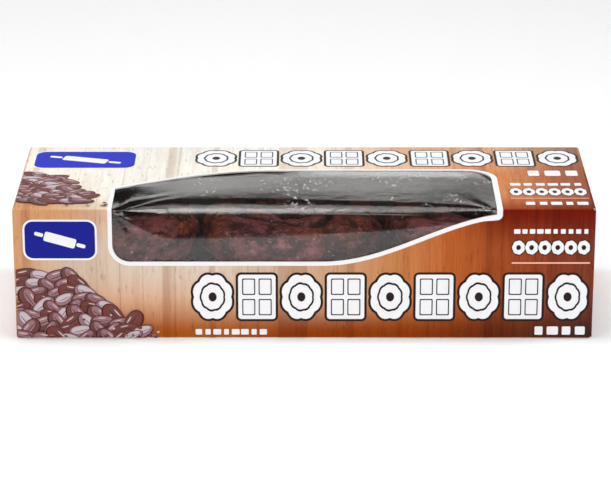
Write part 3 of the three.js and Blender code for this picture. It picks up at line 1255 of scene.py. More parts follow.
@dataclass
class Print:
    """Flat shapes of one ink, laid as a thin skin on the folded board."""

    sizes: CartonSizes
    name: str
    ink: Ink
    shapes: list[Shape]
    skin: float = 0.03 * MM
    gap: float = 0.012 * MM

    def build(self) -> Piece:
        """Draws the shapes and settles them as a finished piece."""
        return settle(self.draw(), "printed_board")

    def draw(self) -> Piece:
        """Fills every shape, folds it onto the board and gives it its thickness.

        Returns:
            The print, not yet settled.
        """
        work = bmesh.new()
        for shape in self.shapes:
            self._fill(work, shape)
        mesh = bpy.data.meshes.new(self.name)
        work.to_mesh(mesh)
        work.free()
        mesh.materials.append(self.ink.material())
        return linked(self.name, mesh)

    def _fill(self, work: bmesh.types.BMesh, shape: Shape) -> None:
        """Adds one shape as a thin closed slab.

        Args:
            work: the mesh under construction.
            shape: the shape.
        """
        lift = self.gap + self.skin + shape.layer
        edges = []
        for loop in [shape.outline, *shape.holes]:
            corners = [work.verts.new((u, v, 0.0)) for u, v in loop]
            edges += [work.edges.new((corners[i - 1], corners[i])) for i in range(len(corners))]
        filled = bmesh.ops.triangle_fill(work, use_beauty=True, edges=edges)
        top = [item for item in filled["geom"] if isinstance(item, bmesh.types.BMFace)]
        for face in top:
            face.normal_update()
            if face.normal.z < 0:
                face.normal_flip()
        rim = [edge for face in top for edge in face.edges if len(edge.link_faces) == 1]
        copied = bmesh.ops.duplicate(work, geom=top)
        twin = copied["vert_map"]
        for face in (item for item in copied["geom"] if isinstance(item, bmesh.types.BMFace)):
            face.normal_flip()
        corners = {corner for face in top for corner in face.verts}
        for edge in rim:
            face = edge.link_faces[0]
            loop = next(item for item in face.loops if item.edge == edge)
            a, b = loop.vert, loop.link_loop_next.vert
            work.faces.new((b, a, twin[a], twin[b]))
        for corner in corners:
            u, v = corner.co.x, corner.co.y
            twin[corner].co = self.sizes.fold(u, v, lift - self.skin)
            corner.co = self.sizes.fold(u, v, lift)


def blend(low: Point2, high: Point2, across: float, up: float) -> Point2:
    """Point at a share of the way from low to high along each axis."""
    return lerp(low[0], high[0], across), lerp(low[1], high[1], up)


def on_ellipse(centre: Point2, radii: Point2, turn: float) -> Point2:
    """Point of an ellipse at an angle."""
    return centre[0] + radii[0] * math.cos(turn), centre[1] + radii[1] * math.sin(turn)


def ellipse(centre: Point2, radii: Point2, count: int, bumps: int = 0, depth: float = 0.0) -> list[Point2]:
    """Outline of an ellipse, with round bumps where they are asked for.

    Args:
        centre: middle of the ellipse.
        radii: half its width and half its height.
        count: number of points.
        bumps: number of bumps round the rim.
        depth: how deep the dips between bumps are, as a share of the radius.

    Returns:
        The outline.
    """
    points = []
    for turn in steps(0, 2 * math.pi, count)[:-1]:
        share = 1 - depth * (1 - abs(math.sin(bumps * turn / 2))) if bumps else 1.0
        points.append(on_ellipse(centre, (radii[0] * share, radii[1] * share), turn))
    return points


def rounded_box(centre: Point2, radii: Point2, corner: float, count: int = 6) -> list[Point2]:
    """Outline of a rectangle with round corners, from its half width and half height.

    Args:
        centre: middle of the rectangle.
        radii: half its width and half its height.
        corner: radius of its corners.
        count: steps in each corner.

    Returns:
        The outline.
    """
    points = []
    for quarter, (side, level) in enumerate(((1, 1), (-1, 1), (-1, -1), (1, -1))):
        middle = (centre[0] + side * (radii[0] - corner), centre[1] + level * (radii[1] - corner))
        for turn in steps(quarter * math.pi / 2, (quarter + 1) * math.pi / 2, count):
            points.append(on_ellipse(middle, (corner, corner), turn))
    return points


def turned(points: list[Point2], centre: Point2, tilt: float) -> list[Point2]:
    """Points drawn about the origin, tilted and moved to a centre."""
    cosine, sine = math.cos(tilt), math.sin(tilt)
    return [(centre[0] + x * cosine - y * sine, centre[1] + x * sine + y * cosine) for x, y in points]


def clipped(points: list[Point2], low: Point2, high: Point2) -> list[Point2]:
    """Part of an outline that lies inside an upright rectangle.

    Args:
        points: the outline.
        low: lower corner of the rectangle.
        high: upper corner of the rectangle.

    Returns:
        The clipped outline, empty where nothing is left.
    """
    for axis in (0, 1):
        for limit, side in ((low[axis], 1), (high[axis], -1)):
            kept: list[Point2] = []
            for index, point in enumerate(points):
                before = points[index - 1]
                inside, was_inside = side * (point[axis] - limit) >= 0, side * (before[axis] - limit) >= 0
                if inside != was_inside:
                    share = (limit - before[axis]) / (point[axis] - before[axis])
                    kept.append(blend(before, point, share, share))
                if inside:
                    kept.append(point)
            points = kept
    return points


@dataclass
class BeanHeap:
    """Printed heap of roasted cocoa beans, high at the left and low at the right, with nibs at its foot."""

    sizes: CartonSizes
    word: str
    low: Point2
    high: Point2
    seed: int
    skin_step: float = 0.002 * MM
    half_length: float = 5.6 * MM
    half_width: float = 3.1 * MM
    row_share: float = 1.3
    column_share: float = 1.25
    foot: float = 0.0
    top_row: float = 0.93
    sideways: float = 0.25
    up_and_down: float = 0.02
    scales: Point2 = (0.8, 1.15)
    crest: Point2 = (0.98, 0.16)
    crest_fall: Span = (0.3, 0.66)
    crest_end: float = 0.96
    crest_gap: float = 0.06
    taper: float = 0.2
    bow: float = 0.1
    nibs: int = 16
    nib_corners: int = 5
    nib_places: Point2 = (0.45, 1.0)
    nib_rises: Point2 = (0.01, 0.7)
    nib_radii: Point2 = (0.4 * MM, 1.1 * MM)
    least_crest: float = 0.12

    def __post_init__(self) -> None:
        """Starts the draws and the list of shapes for each ink."""
        self.draws = Draws(self.seed, 3)
        self.level = 0
        self.parts: dict[Ink, list[Shape]] = {
            ink: [] for ink in (Ink.PALE, Ink.MAUVE, Ink.COCOA, Ink.RUST, Ink.DARK, Ink.SHEEN)
        }

    def build(self) -> list[Piece]:
        """Draws the beans from the back to the front, and makes one skin for each ink.

        Returns:
            The finished prints.
        """
        wide, tall = self.high[0] - self.low[0], self.high[1] - self.low[1]
        rows = round(tall / (self.row_share * self.half_width))
        columns = round(wide / (self.column_share * self.half_length))
        for row in range(rows + 1):
            up = lerp(self.top_row, self.foot, row / rows)
            for place in range(columns + 1):
                beside = self.draws.between(-self.sideways, self.sideways)
                across = (place + 0.5 * (row % 2) + beside) / columns
                if up < self._crest(across) - self.crest_gap:
                    shift = self.draws.between(-self.up_and_down, self.up_and_down)
                    centre = blend(self.low, self.high, across, up + shift)
                    self._bean(centre, self.draws.between(*self.scales), self.draws.between(-1.0, 1.0))
        for _ in range(self.nibs):
            self._nib()
        return [
            Print(self.sizes, f"print_{ink.value[0][4:]}_{self.word}", ink, shapes).build()
            for ink, shapes in self.parts.items() if shapes
        ]

    def _crest(self, across: float) -> float:
        """Height of the heap's outline at a share of its width."""
        return lerp(*self.crest, smooth(across, *self.crest_fall)) if across < self.crest_end else 0.0

    def _lay(self, ink: Ink, points: list[Point2], rise: int) -> None:
        """Adds one face at the height of the present piece, cut off at the heap's limits.

        Args:
            ink: the face's ink.
            points: its outline.
            rise: its height within the piece.
        """
        placed = clipped(points, self.low, self.high)
        if len(placed) > 2:
            self.parts[ink].append(Shape(placed, [], self.skin_step * (5 * self.level + rise)))

    def _bean(self, centre: Point2, scale: float, tilt: float) -> None:
        """One bean: a dark edge, its body, the lit side, a groove and a highlight.

        Args:
            centre: its middle.
            scale: its size, as a share of the usual one.
            tilt: how far it leans, in radians.
        """
        self.level += 1
        long, wide = scale * self.half_length, scale * self.half_width
        coats = ((Ink.COCOA, Ink.MAUVE), (Ink.RUST, Ink.COCOA), (Ink.MAUVE, Ink.PALE), (Ink.COCOA, Ink.MAUVE))
        body, lit = coats[self.level % 4]
        side = -1 if tilt > 0.5 else 1
        for rise, (ink, shift, along, across) in enumerate((
            (Ink.DARK, -0.08, 1.07, 1.14), (body, 0.0, 1.0, 1.0), (lit, 0.26, 0.8, 0.6),
            (Ink.DARK, 0.02, 0.66, 0.05), (Ink.SHEEN, 0.55, 0.34, 0.09),
        )):
            outline = ellipse((0.0, shift * wide), (along * long, across * wide), 28)
            shaped = [
                (x, y * (1 - self.taper * side * x / long) + self.bow * wide * (x / long) ** 2)
                for x, y in outline
            ]
            self._lay(ink, turned(shaped, centre, tilt), rise)

    def _nib(self) -> None:
        """One small broken piece near the foot of the heap."""
        self.level += 1
        across = self.draws.between(*self.nib_places)
        up = self.draws.between(*self.nib_rises) * max(self.least_crest, self._crest(across))
        radius = self.draws.between(*self.nib_radii)
        centre = blend(self.low, self.high, across, up)
        step = 2 * math.pi / self.nib_corners
        turns = [step * (corner + 0.5 * self.draws.next()) for corner in range(self.nib_corners)]
        points = [on_ellipse(centre, (radius, radius), turn) for turn in turns]
        ink = (Ink.RUST, Ink.SHEEN, Ink.COCOA, Ink.MAUVE)[self.level % 4]
        self._lay(Ink.DARK, [(x + 0.2 * radius, y - 0.3 * radius) for x, y in points], 0)
        self._lay(ink, points, 1)


@dataclass
class PanelPrint:
    """Where the printed shapes lie on one panel, in (u, v).

    A row of dashes has a start, an end, a place across the panel and a height. The rule has the first three.
    """

    word: str
    plaque_ink: Ink
    plaque: Point2
    plaque_radii: Point2
    emblem_start: Point2
    emblem_radii: Point2
    ring_row: Point2
    ring_radii: Point2
    dash_rows: list[tuple[float, float, float, float]]
    rule: tuple[float, float, float]
    heap: BeanHeap


def row_graph(count: int, pitch: float, ink: Finish, seed: int | None = None) -> Graph:
    """Tree that repeats a printed shape along a straight row.

    Args:
        count: how many there are in the row.
        pitch: step from one to the next.
        ink: the material of all of them.
        seed: sets the length of each where lengths differ, or None where all are alike.

    Returns:
        The tree.
    """
    graph = Graph("print_row")
    many = graph.given("Count", "Int", count)
    step = graph.given("Pitch", "Vector", (pitch, 0.0, 0.0))
    colour = graph.given("Ink", "Material", ink)
    line = graph.node("GeometryNodeMeshLine", {"mode": "OFFSET"}, Count=many, Offset=step)
    placed = graph.node("GeometryNodeInstanceOnPoints", Points=line.outputs[0], Instance=graph.start)
    if seed is not None:
        shortest = graph.given("Shortest", "Float", 0.55)
        longest = graph.given("Longest", "Float", 1.0)
        long = graph.random(shortest, longest, graph.given("Seed", "Int", seed))
        scale = graph.node("ShaderNodeCombineXYZ", X=long, Y=1.0, Z=1.0)
        graph.feed(placed.inputs["Scale"], scale.outputs[0])
    graph.close(placed.outputs[0], colour)
    return graph


@dataclass
class Prints:
    """All shapes printed over the wood grain, on the front and the top panel."""

    sizes: CartonSizes
    emblems: int = 9
    emblem_pitch: float = 20.1 * MM
    small_rings: int = 6
    small_rings_end: float = 128.8 * MM
    small_shadow: float = 0.4 * MM
    border: float = 1.9 * MM
    right_border: float = 2.6 * MM
    border_blend: float = 8.0 * MM
    outline: float = 1.1 * MM
    plaque_rim: float = 0.9 * MM
    plaque_corner: float = 0.42
    pin_tilt: float = math.radians(-16)
    dash_gap: float = 0.9 * MM
    rule_half: float = 0.38 * MM
    rule_corner: float = 0.3 * MM
    ink_step: float = 0.04 * MM

    def build(self) -> list[Piece]:
        """Makes every printed piece.

        Returns:
            The finished prints.
        """
        pieces = [self._print("window_border", Ink.WHITE, self._border())]
        for panel in (self._front(), self._top()):
            pieces += self._plaque(panel) + self._emblem_row(panel) + self._ring_row(panel)
            pieces += self._dash_rows(panel) + panel.heap.build()
        return pieces

    def _front(self) -> PanelPrint:
        """Layout of the front panel."""
        return PanelPrint(
            word="front", plaque_ink=Ink.BLUE, plaque=(-0.1099, -0.0148), plaque_radii=(0.0158, 0.0088),
            emblem_start=(-0.0415, -0.0422), emblem_radii=(0.0092, 0.0112),
            ring_row=(0.0965, -0.0184), ring_radii=(0.0029, 0.0034),
            dash_rows=[
                (0.0940, 0.1285, -0.0107, 0.0026), (-0.0500, -0.0165, -0.0592, 0.0032),
                (0.1035, 0.1285, -0.0586, 0.0048),
            ],
            rule=(0.0935, 0.1290, -0.0258),
            heap=BeanHeap(self.sizes, "front", (-0.1303, -0.0618), (-0.0655, -0.0262), 91),
        )

    def _top(self) -> PanelPrint:
        """Layout of the top panel."""
        return PanelPrint(
            word="top", plaque_ink=Ink.BRIGHT_BLUE, plaque=(-0.1030, 0.0700), plaque_radii=(0.0235, 0.0120),
            emblem_start=(-0.0415, 0.0722), emblem_radii=(0.0092, 0.0118),
            ring_row=(0.0965, 0.0235), ring_radii=(0.0029, 0.0052),
            dash_rows=[
                (0.0940, 0.1285, 0.0340, 0.0044), (0.0990, 0.1285, 0.0075, 0.0050),
                (0.1020, 0.1285, 0.0500, 0.0090),
            ],
            rule=(0.0935, 0.1290, 0.0145),
            heap=BeanHeap(self.sizes, "top", (-0.1303, 0.0030), (-0.0885, 0.0545), 57, foot=0.13),
        )

    def _outline_of_window(self) -> list[Point2]:
        """Points round the window, starting at its front left corner and going over the left edge.

        Returns:
            The outline.
        """
        size = self.sizes
        left, right, corner, bend = size.window_left, size.window_right, size.front_corner, size.top_corner
        loop = [(left, v) for v in steps(corner - size.front_drop, size.top_left_reach, 120)]
        loop += [(x, size.reach(x)) for x in steps(left, right - bend, 60)[1:]]
        middle = (right - bend, size.top_reach - bend)
        loop += [on_ellipse(middle, (bend, bend), turn) for turn in steps(math.pi / 2, 0, 12)[1:]]
        loop += [(right, v) for v in steps(middle[1], -size.drop(right), 120)[1:]]
        loop += [(x, -size.drop(x)) for x in steps(right, left + corner, 80)[1:]]
        middle = (left + corner, corner - size.front_drop)
        turns = steps(-math.pi / 2, -math.pi, 12)[1:-1]
        return loop + [on_ellipse(middle, (corner, corner), turn) for turn in turns]

    def _border(self) -> Shape:
        """White border that follows the window's edge, a little wider at its right end.

        Returns:
            The border, with the window as its hole.
        """
        inner = self._outline_of_window()
        start = self.sizes.window_right - self.border_blend

        def wide(x: float) -> float:
            """Width of the border at x."""
            return lerp(self.border, self.right_border, smooth(x, start, self.border_blend))

        return Shape(widened(inner, wide), [inner])

    def _print(self, name: str, ink: Ink, *shapes: Shape) -> Piece:
        """Finished print of a few shapes in one ink."""
        return Print(self.sizes, f"print_{name}", ink, list(shapes)).build()

    def _row(
        self, name: str, ink: Ink, shapes: list[Shape], count: int, pitch: float,
        shift: float = 0.0, seed: int | None = None,
    ) -> Piece:
        """Repeats shapes drawn at the start of a row all along it.

        Args:
            name: the row's name, without its first word.
            ink: the ink of all shapes.
            shapes: the shapes at the start.
            count: how many there are in the row.
            pitch: step from one to the next.
            shift: how far the finished row moves along the carton.
            seed: sets the length of each where lengths differ.

        Returns:
            The row as a finished piece.
        """
        start = Print(self.sizes, f"print_{name}_start", ink, shapes).draw()
        piece = row_graph(count, pitch, ink.material(), seed).run(f"print_{name}", start)
        piece.data.transform(Matrix.Translation((shift, 0.0, 0.0)))
        return settle(piece, "printed_board")

    def _plaque(self, panel: PanelPrint) -> list[Piece]:
        """Blue plaque with a white rim and a white rolling pin.

        Args:
            panel: where the print lies.

        Returns:
            The rim, the plaque and the pin.
        """
        (wide, high), centre, rim = panel.plaque_radii, panel.plaque, self.plaque_rim
        corner = self.plaque_corner * min(wide, high)
        edge = Shape(rounded_box(centre, (wide + rim, high + rim), corner + rim))
        face = Shape(rounded_box(centre, (wide, high), corner), layer=self.ink_step)
        parts = [rounded_box((0.0, 0.0), (0.46 * wide, 0.26 * high), 0.1 * high)]
        for side in (-1, 1):
            parts.append(rounded_box((side * 0.62 * wide, 0.0), (0.13 * wide, 0.1 * high), 0.09 * high))
        pin = [Shape(turned(part, centre, self.pin_tilt), layer=2 * self.ink_step) for part in parts]
        return [
            self._print(f"plaque_rim_{panel.word}", Ink.WHITE, edge),
            self._print(f"plaque_{panel.word}", panel.plaque_ink, face),
            self._print(f"rolling_pin_{panel.word}", Ink.WHITE, *pin),
        ]

    def _emblem_row(self, panel: PanelPrint) -> list[Piece]:
        """Row of large white emblems: ring doughnuts and squares of chocolate in turn.

        Args:
            panel: where the print lies.

        Returns:
            The edges and the fills of both kinds.
        """
        (wide, high), first, edge, step = panel.emblem_radii, panel.emblem_start, self.outline, self.ink_step
        line = [ellipse(first, (share * wide, share * high), 72, 9, 0.05) for share in (0.64, 0.55)]
        hole = ellipse(first, (0.2 * wide, 0.2 * high), 24)
        ring_edges = [Shape(ellipse(first, (wide + edge, high + edge), 96, 8, 0.07))]
        ring_edges.append(Shape(line[0], line[1:], 2 * step))
        ring_fills = [Shape(ellipse(first, (wide, high), 96, 8, 0.09), [hole], step)]
        second, square = (first[0] + self.emblem_pitch, first[1]), (0.92 * wide, 0.96 * high)
        square_edges = [Shape(rounded_box(second, (square[0] + edge, square[1] + edge), 2.4 * MM))]
        square_fills = [Shape(rounded_box(second, square, 1.4 * MM), [], step)]
        for side, level in ((-1, -1), (-1, 1), (1, -1), (1, 1)):
            tile = (second[0] + side * 0.44 * square[0], second[1] + level * 0.46 * square[1])
            outer = rounded_box(tile, (0.35 * square[0], 0.37 * square[1]), 0.6 * MM)
            inner = rounded_box(tile, (0.29 * square[0], 0.32 * square[1]), 0.4 * MM)
            square_edges.append(Shape(outer, [inner], 2 * step))
        rings, squares = (self.emblems + 1) // 2, self.emblems // 2
        rows = (
            ("ring_edges", Ink.OUTLINE, ring_edges, rings),
            ("rings", Ink.WHITE, ring_fills, rings),
            ("square_edges", Ink.OUTLINE, square_edges, squares),
            ("squares", Ink.WHITE, square_fills, squares),
        )
        return [
            self._row(f"{name}_{panel.word}", ink, shapes, count, 2 * self.emblem_pitch)
            for name, ink, shapes, count in rows
        ]

    def _ring_row(self, panel: PanelPrint) -> list[Piece]:
        """Row of small rings beside the window.

        Args:
            panel: where the print lies.

        Returns:
            The rings and the dark line round them.
        """
        (wide, high), place = panel.ring_radii, panel.ring_row
        edge, count = self.small_shadow, self.small_rings
        pitch = (self.small_rings_end - wide - place[0]) / (count - 1)
        hole = ellipse(place, (0.36 * wide, 0.36 * high), 20)
        ring = Shape(ellipse(place, (wide, high), 40, 7, 0.08), [hole], self.ink_step)
        shadow = Shape(ellipse(place, (wide + edge, high + edge), 40))
        return [
            self._row(f"small_shadows_{panel.word}", Ink.OUTLINE, [shadow], count, pitch),
            self._row(f"small_rings_{panel.word}", Ink.WHITE, [ring], count, pitch),
        ]

    def _dash_rows(self, panel: PanelPrint) -> list[Piece]:
        """Rows of short white dashes and a thin rose rule.

        Args:
            panel: where the print lies.

        Returns:
            The rows of dashes and the rule.
        """
        pieces = []
        for place, (start, end, row, tall) in enumerate(panel.dash_rows):
            count = max(2, round((end - start) / (1.05 * tall + self.dash_gap)))
            pitch = (end - start) / count
            half = (0.44 * pitch, 0.42 * tall)
            dash = Shape(rounded_box((0.0, row), half, 0.3 * min(half), 3), [], self.ink_step)
            name = f"dashes_{panel.word}_{place + 1}"
            pieces.append(self._row(name, Ink.WHITE, [dash], count, pitch, start + 0.5 * pitch, 40 + place))
        start, end, row = panel.rule
        middle, half = ((start + end) / 2, row), ((end - start) / 2, self.rule_half)
        rule = Shape(rounded_box(middle, half, self.rule_corner, 2), [], self.ink_step)
        return pieces + [self._print(f"rule_{panel.word}", Ink.ROSE, rule)]


def widened(loop: list[Point2], distance: Callable[[float], float], sharp: float = 0.5) -> list[Point2]:
    """Outline moved outwards, with round outer corners, for a loop that runs clockwise.

    Args:
        loop: the outline.
        distance: how far it moves at a place along the carton.
        sharp: the turn, in radians, from which a corner is rounded.

    Returns:
        The moved outline.
    """
    moved = []
    for index, (x, y) in enumerate(loop):
        before, after = loop[index - 1], loop[(index + 1) % len(loop)]
        first = math.atan2(x - before[0], before[1] - y)
        second = math.atan2(after[0] - x, y - after[1])
        turn = math.atan2(math.sin(second - first), math.cos(second - first))
        for share in steps(0, 1, 8) if turn < -sharp else [0.5]:
            way = first + turn * share
            moved.append((x + distance(x) * math.cos(way), y + distance(x) * math.sin(way)))
    return moved


@dataclass
class WindowFilm:
    """Clear film behind the window, bent over the front edge and pinched at the window's ends.

    A span here gives the place where a change starts and the length that it takes: rear_share in shares
    of the window's reach, crease_gap in radians, and the others in metres.
    """

    sizes: CartonSizes
    thickness: float = 0.08 * MM
    gap: float = 0.35 * MM
    margin: float = 8.0 * MM
    bend: float = 15.6 * MM
    pinch: float = 0.8 * MM
    left_flare: float = 25.0 * MM
    left_power: float = 0.6
    right_flare: float = 110.0 * MM
    right_power: float = 0.42
    columns: int = 240
    rows: int = 110
    end_hold: float = 12.0 * MM
    front_hold: float = 12.0 * MM
    back_hold: float = 16.5 * MM
    ripple: float = 0.06 * MM
    ripple_length: float = 19.0 * MM
    ripple_slant: float = 14.0
    ripple_wander: float = 0.7
    ripple_turns: float = 31.0
    unevenness: float = 0.08 * MM
    uneven_turns: Point2 = (55.0, 90.0)
    crown: float = 1.2 * MM
    crown_length: float = 26.0 * MM
    rear_fall: float = 0.45 * MM
    rear_share: Span = (0.5, 0.42)
    left_dip: float = 1.8 * MM
    left_dip_reach: float = 18.0 * MM
    valley: float = 13.0 * MM
    valley_slope: float = 0.3
    valley_front: float = 5.0 * MM
    valley_back: float = 16.0 * MM
    edge_fall: float = 0.9 * MM
    edge_fall_start: Span = (-78.0 * MM, 12.0 * MM)
    edge_fall_end: Span = (-42.0 * MM, 22.0 * MM)
    edge_fall_width: float = 9.5 * MM
    lip: float = 0.7 * MM
    lip_start: Span = (-12.0 * MM, 10.0 * MM)
    lip_end_hold: float = 8.0 * MM
    lip_edge: float = 1.8 * MM
    lip_width: float = 30.0 * MM
    lip_fade: float = 24.0 * MM
    crease: float = 1.7 * MM
    crease_fan: float = 9.0
    crease_sway: float = 0.6
    crease_phase: float = 1.3
    crease_gap_angle: float = 0.2
    crease_gap: Span = (0.1, 0.25)
    crease_reach: float = 15.0 * MM
    crease_hold: float = 3.0 * MM
    right_crease_depth: float = 0.6
    right_crease_reach: float = 0.8

    def build(self) -> Piece:
        """Makes the film as a thin closed sheet.

        Returns:
            The finished film.
        """
        size = self.sizes
        low, high = size.window_left - self.margin, size.window_right + self.margin
        outer: list[Vector] = []
        inner: list[Vector] = []
        for x in steps(low, high, self.columns):
            for share in steps(0, 1, self.rows):
                point, normal = self._point(x, share)
                outer.append(point)
                inner.append(point - normal * self.thickness)
        faces = walled(grid(self.columns + 1, self.rows + 1), len(outer))
        piece = mesh_object("film_sheet", outer + inner, faces, math.radians(60))
        turn_outwards(piece)
        piece.data.materials.append(ClearFilm().material())
        return settle(piece, "clear_film", "window_film")

    def _point(self, x: float, share: float) -> tuple[Vector, Vector]:
        """Point of the film's outer face at x, a share of the way from its front edge to its back edge.

        Args:
            x: place along the carton.
            share: 0 at the lower front edge, 1 at the back edge.

        Returns:
            The point and the outward normal of the plain bent film.
        """
        size = self.sizes
        inset = size.board + self.gap
        radius = self._bend_radius(x)
        front_y, top_z = -size.depth / 2 + inset, size.height - inset
        low_z = size.height - size.front_drop - self.margin
        back_y = -size.depth / 2 + size.top_reach + self.margin
        rise, arc, run = top_z - radius - low_z, math.pi / 2 * radius, back_y - front_y - radius
        along = share * (rise + arc + run)
        if along < rise:
            point, normal = Vector((x, front_y, low_z + along)), Vector((0.0, -1.0, 0.0))
        elif along < rise + arc:
            turn = (along - rise) / radius
            normal = Vector((0.0, -math.cos(turn), math.sin(turn)))
            point = Vector((x, front_y + radius, top_z - radius)) + normal * radius
        else:
            point, normal = Vector((x, front_y + radius + along - rise - arc, top_z)), Vector((0.0, 0.0, 1.0))
        return point - normal * self._dent(x, along - rise - arc / 2), normal

    def _bend_radius(self, x: float) -> float:
        """Radius of the film's bend at x, pinched at both ends of the window.

        Args:
            x: place along the carton.

        Returns:
            The radius.
        """
        left = clamp((x - self.sizes.window_left) / self.left_flare) ** self.left_power
        right = clamp((self.sizes.window_right - x) / self.right_flare) ** self.right_power
        return lerp(self.pinch, self.bend, left * right)

    def _dent(self, x: float, past_bend: float) -> float:
        """How far the film lies inward of its plain form, by its ripples, bulge, valley, edges and creases.

        Args:
            x: place along the carton.
            past_bend: distance from the middle of the bend, positive over the top.

        Returns:
            The depth of the dent.
        """
        size = self.sizes
        inward = min(x - size.window_left, size.window_right - x)
        hold = smooth(inward, 0.0, self.end_hold) * smooth(size.top_reach - past_bend, 0.0, self.back_hold)
        hold *= smooth(past_bend, -size.front_drop, self.front_hold)
        phase = 2 * math.pi * past_bend / self.ripple_length + self.ripple_slant * x
        wave = 0.5 + 0.5 * math.sin(phase + self.ripple_wander * math.sin(self.ripple_turns * x))
        rough = noise.noise(Vector((x * self.uneven_turns[0], past_bend * self.uneven_turns[1], 0.5)))
        total = self.ripple * wave + self.unevenness * rough
        total -= self.crown * smooth(past_bend, 0.0, self.crown_length)
        total = hold * (total + self.rear_fall * smooth(past_bend / size.top_reach, *self.rear_share))
        left = x - size.window_left
        start = self.valley + self.valley_slope * left
        dip = self.left_dip * math.exp(-((left / self.left_dip_reach) ** 2))
        dip *= smooth(past_bend, start - self.valley_front, self.valley_front)
        total += dip * (1 - smooth(past_bend, start, self.valley_back))
        before_edge = size.reach(x) - past_bend
        fall = self.edge_fall * smooth(x, *self.edge_fall_start) * (1 - smooth(x, *self.edge_fall_end))
        total += fall * (1 - smooth(before_edge, 0.0, self.edge_fall_width))
        raised = self.lip * smooth(x, *self.lip_start) * smooth(inward, 0.0, self.lip_end_hold)
        raised *= smooth(before_edge, 0.0, self.lip_edge)
        total -= raised * (1 - smooth(before_edge, self.lip_width - self.lip_fade, self.lip_fade))
        for end, side in ((size.window_left, 1), (size.window_right, -1)):
            total += self._crease(side * (x - end), past_bend, side)
        return total

    def _crease(self, inward: float, past_bend: float, side: int) -> float:
        """Creases that fan out from one end of the fold, as the depth of their dents.

        Args:
            inward: distance into the window from that end.
            past_bend: distance from the middle of the bend, positive over the top.
            side: 1 at the left end, -1 at the right.

        Returns:
            The depth of the dent.
        """
        distance = math.hypot(inward, past_bend)
        if inward <= 0 or distance < 1e-6:
            return 0.0
        angle = math.atan2(past_bend, inward)
        fan = self.crease_fan * angle + self.crease_sway * math.sin(3 * angle + side)
        fan += self.crease_phase * side
        reach = self.crease_reach * (1.0 if side > 0 else self.right_crease_reach)
        fade = smooth(distance, 0.0, 0.5 * reach) * math.exp(-distance / reach)
        fade *= smooth(inward, 0.0, self.crease_hold)
        fade *= smooth(abs(angle - self.crease_gap_angle), *self.crease_gap)
        depth = self.crease * (1.0 if side > 0 else self.right_crease_depth)
        return depth * (0.5 + 0.5 * math.cos(fan)) * fade


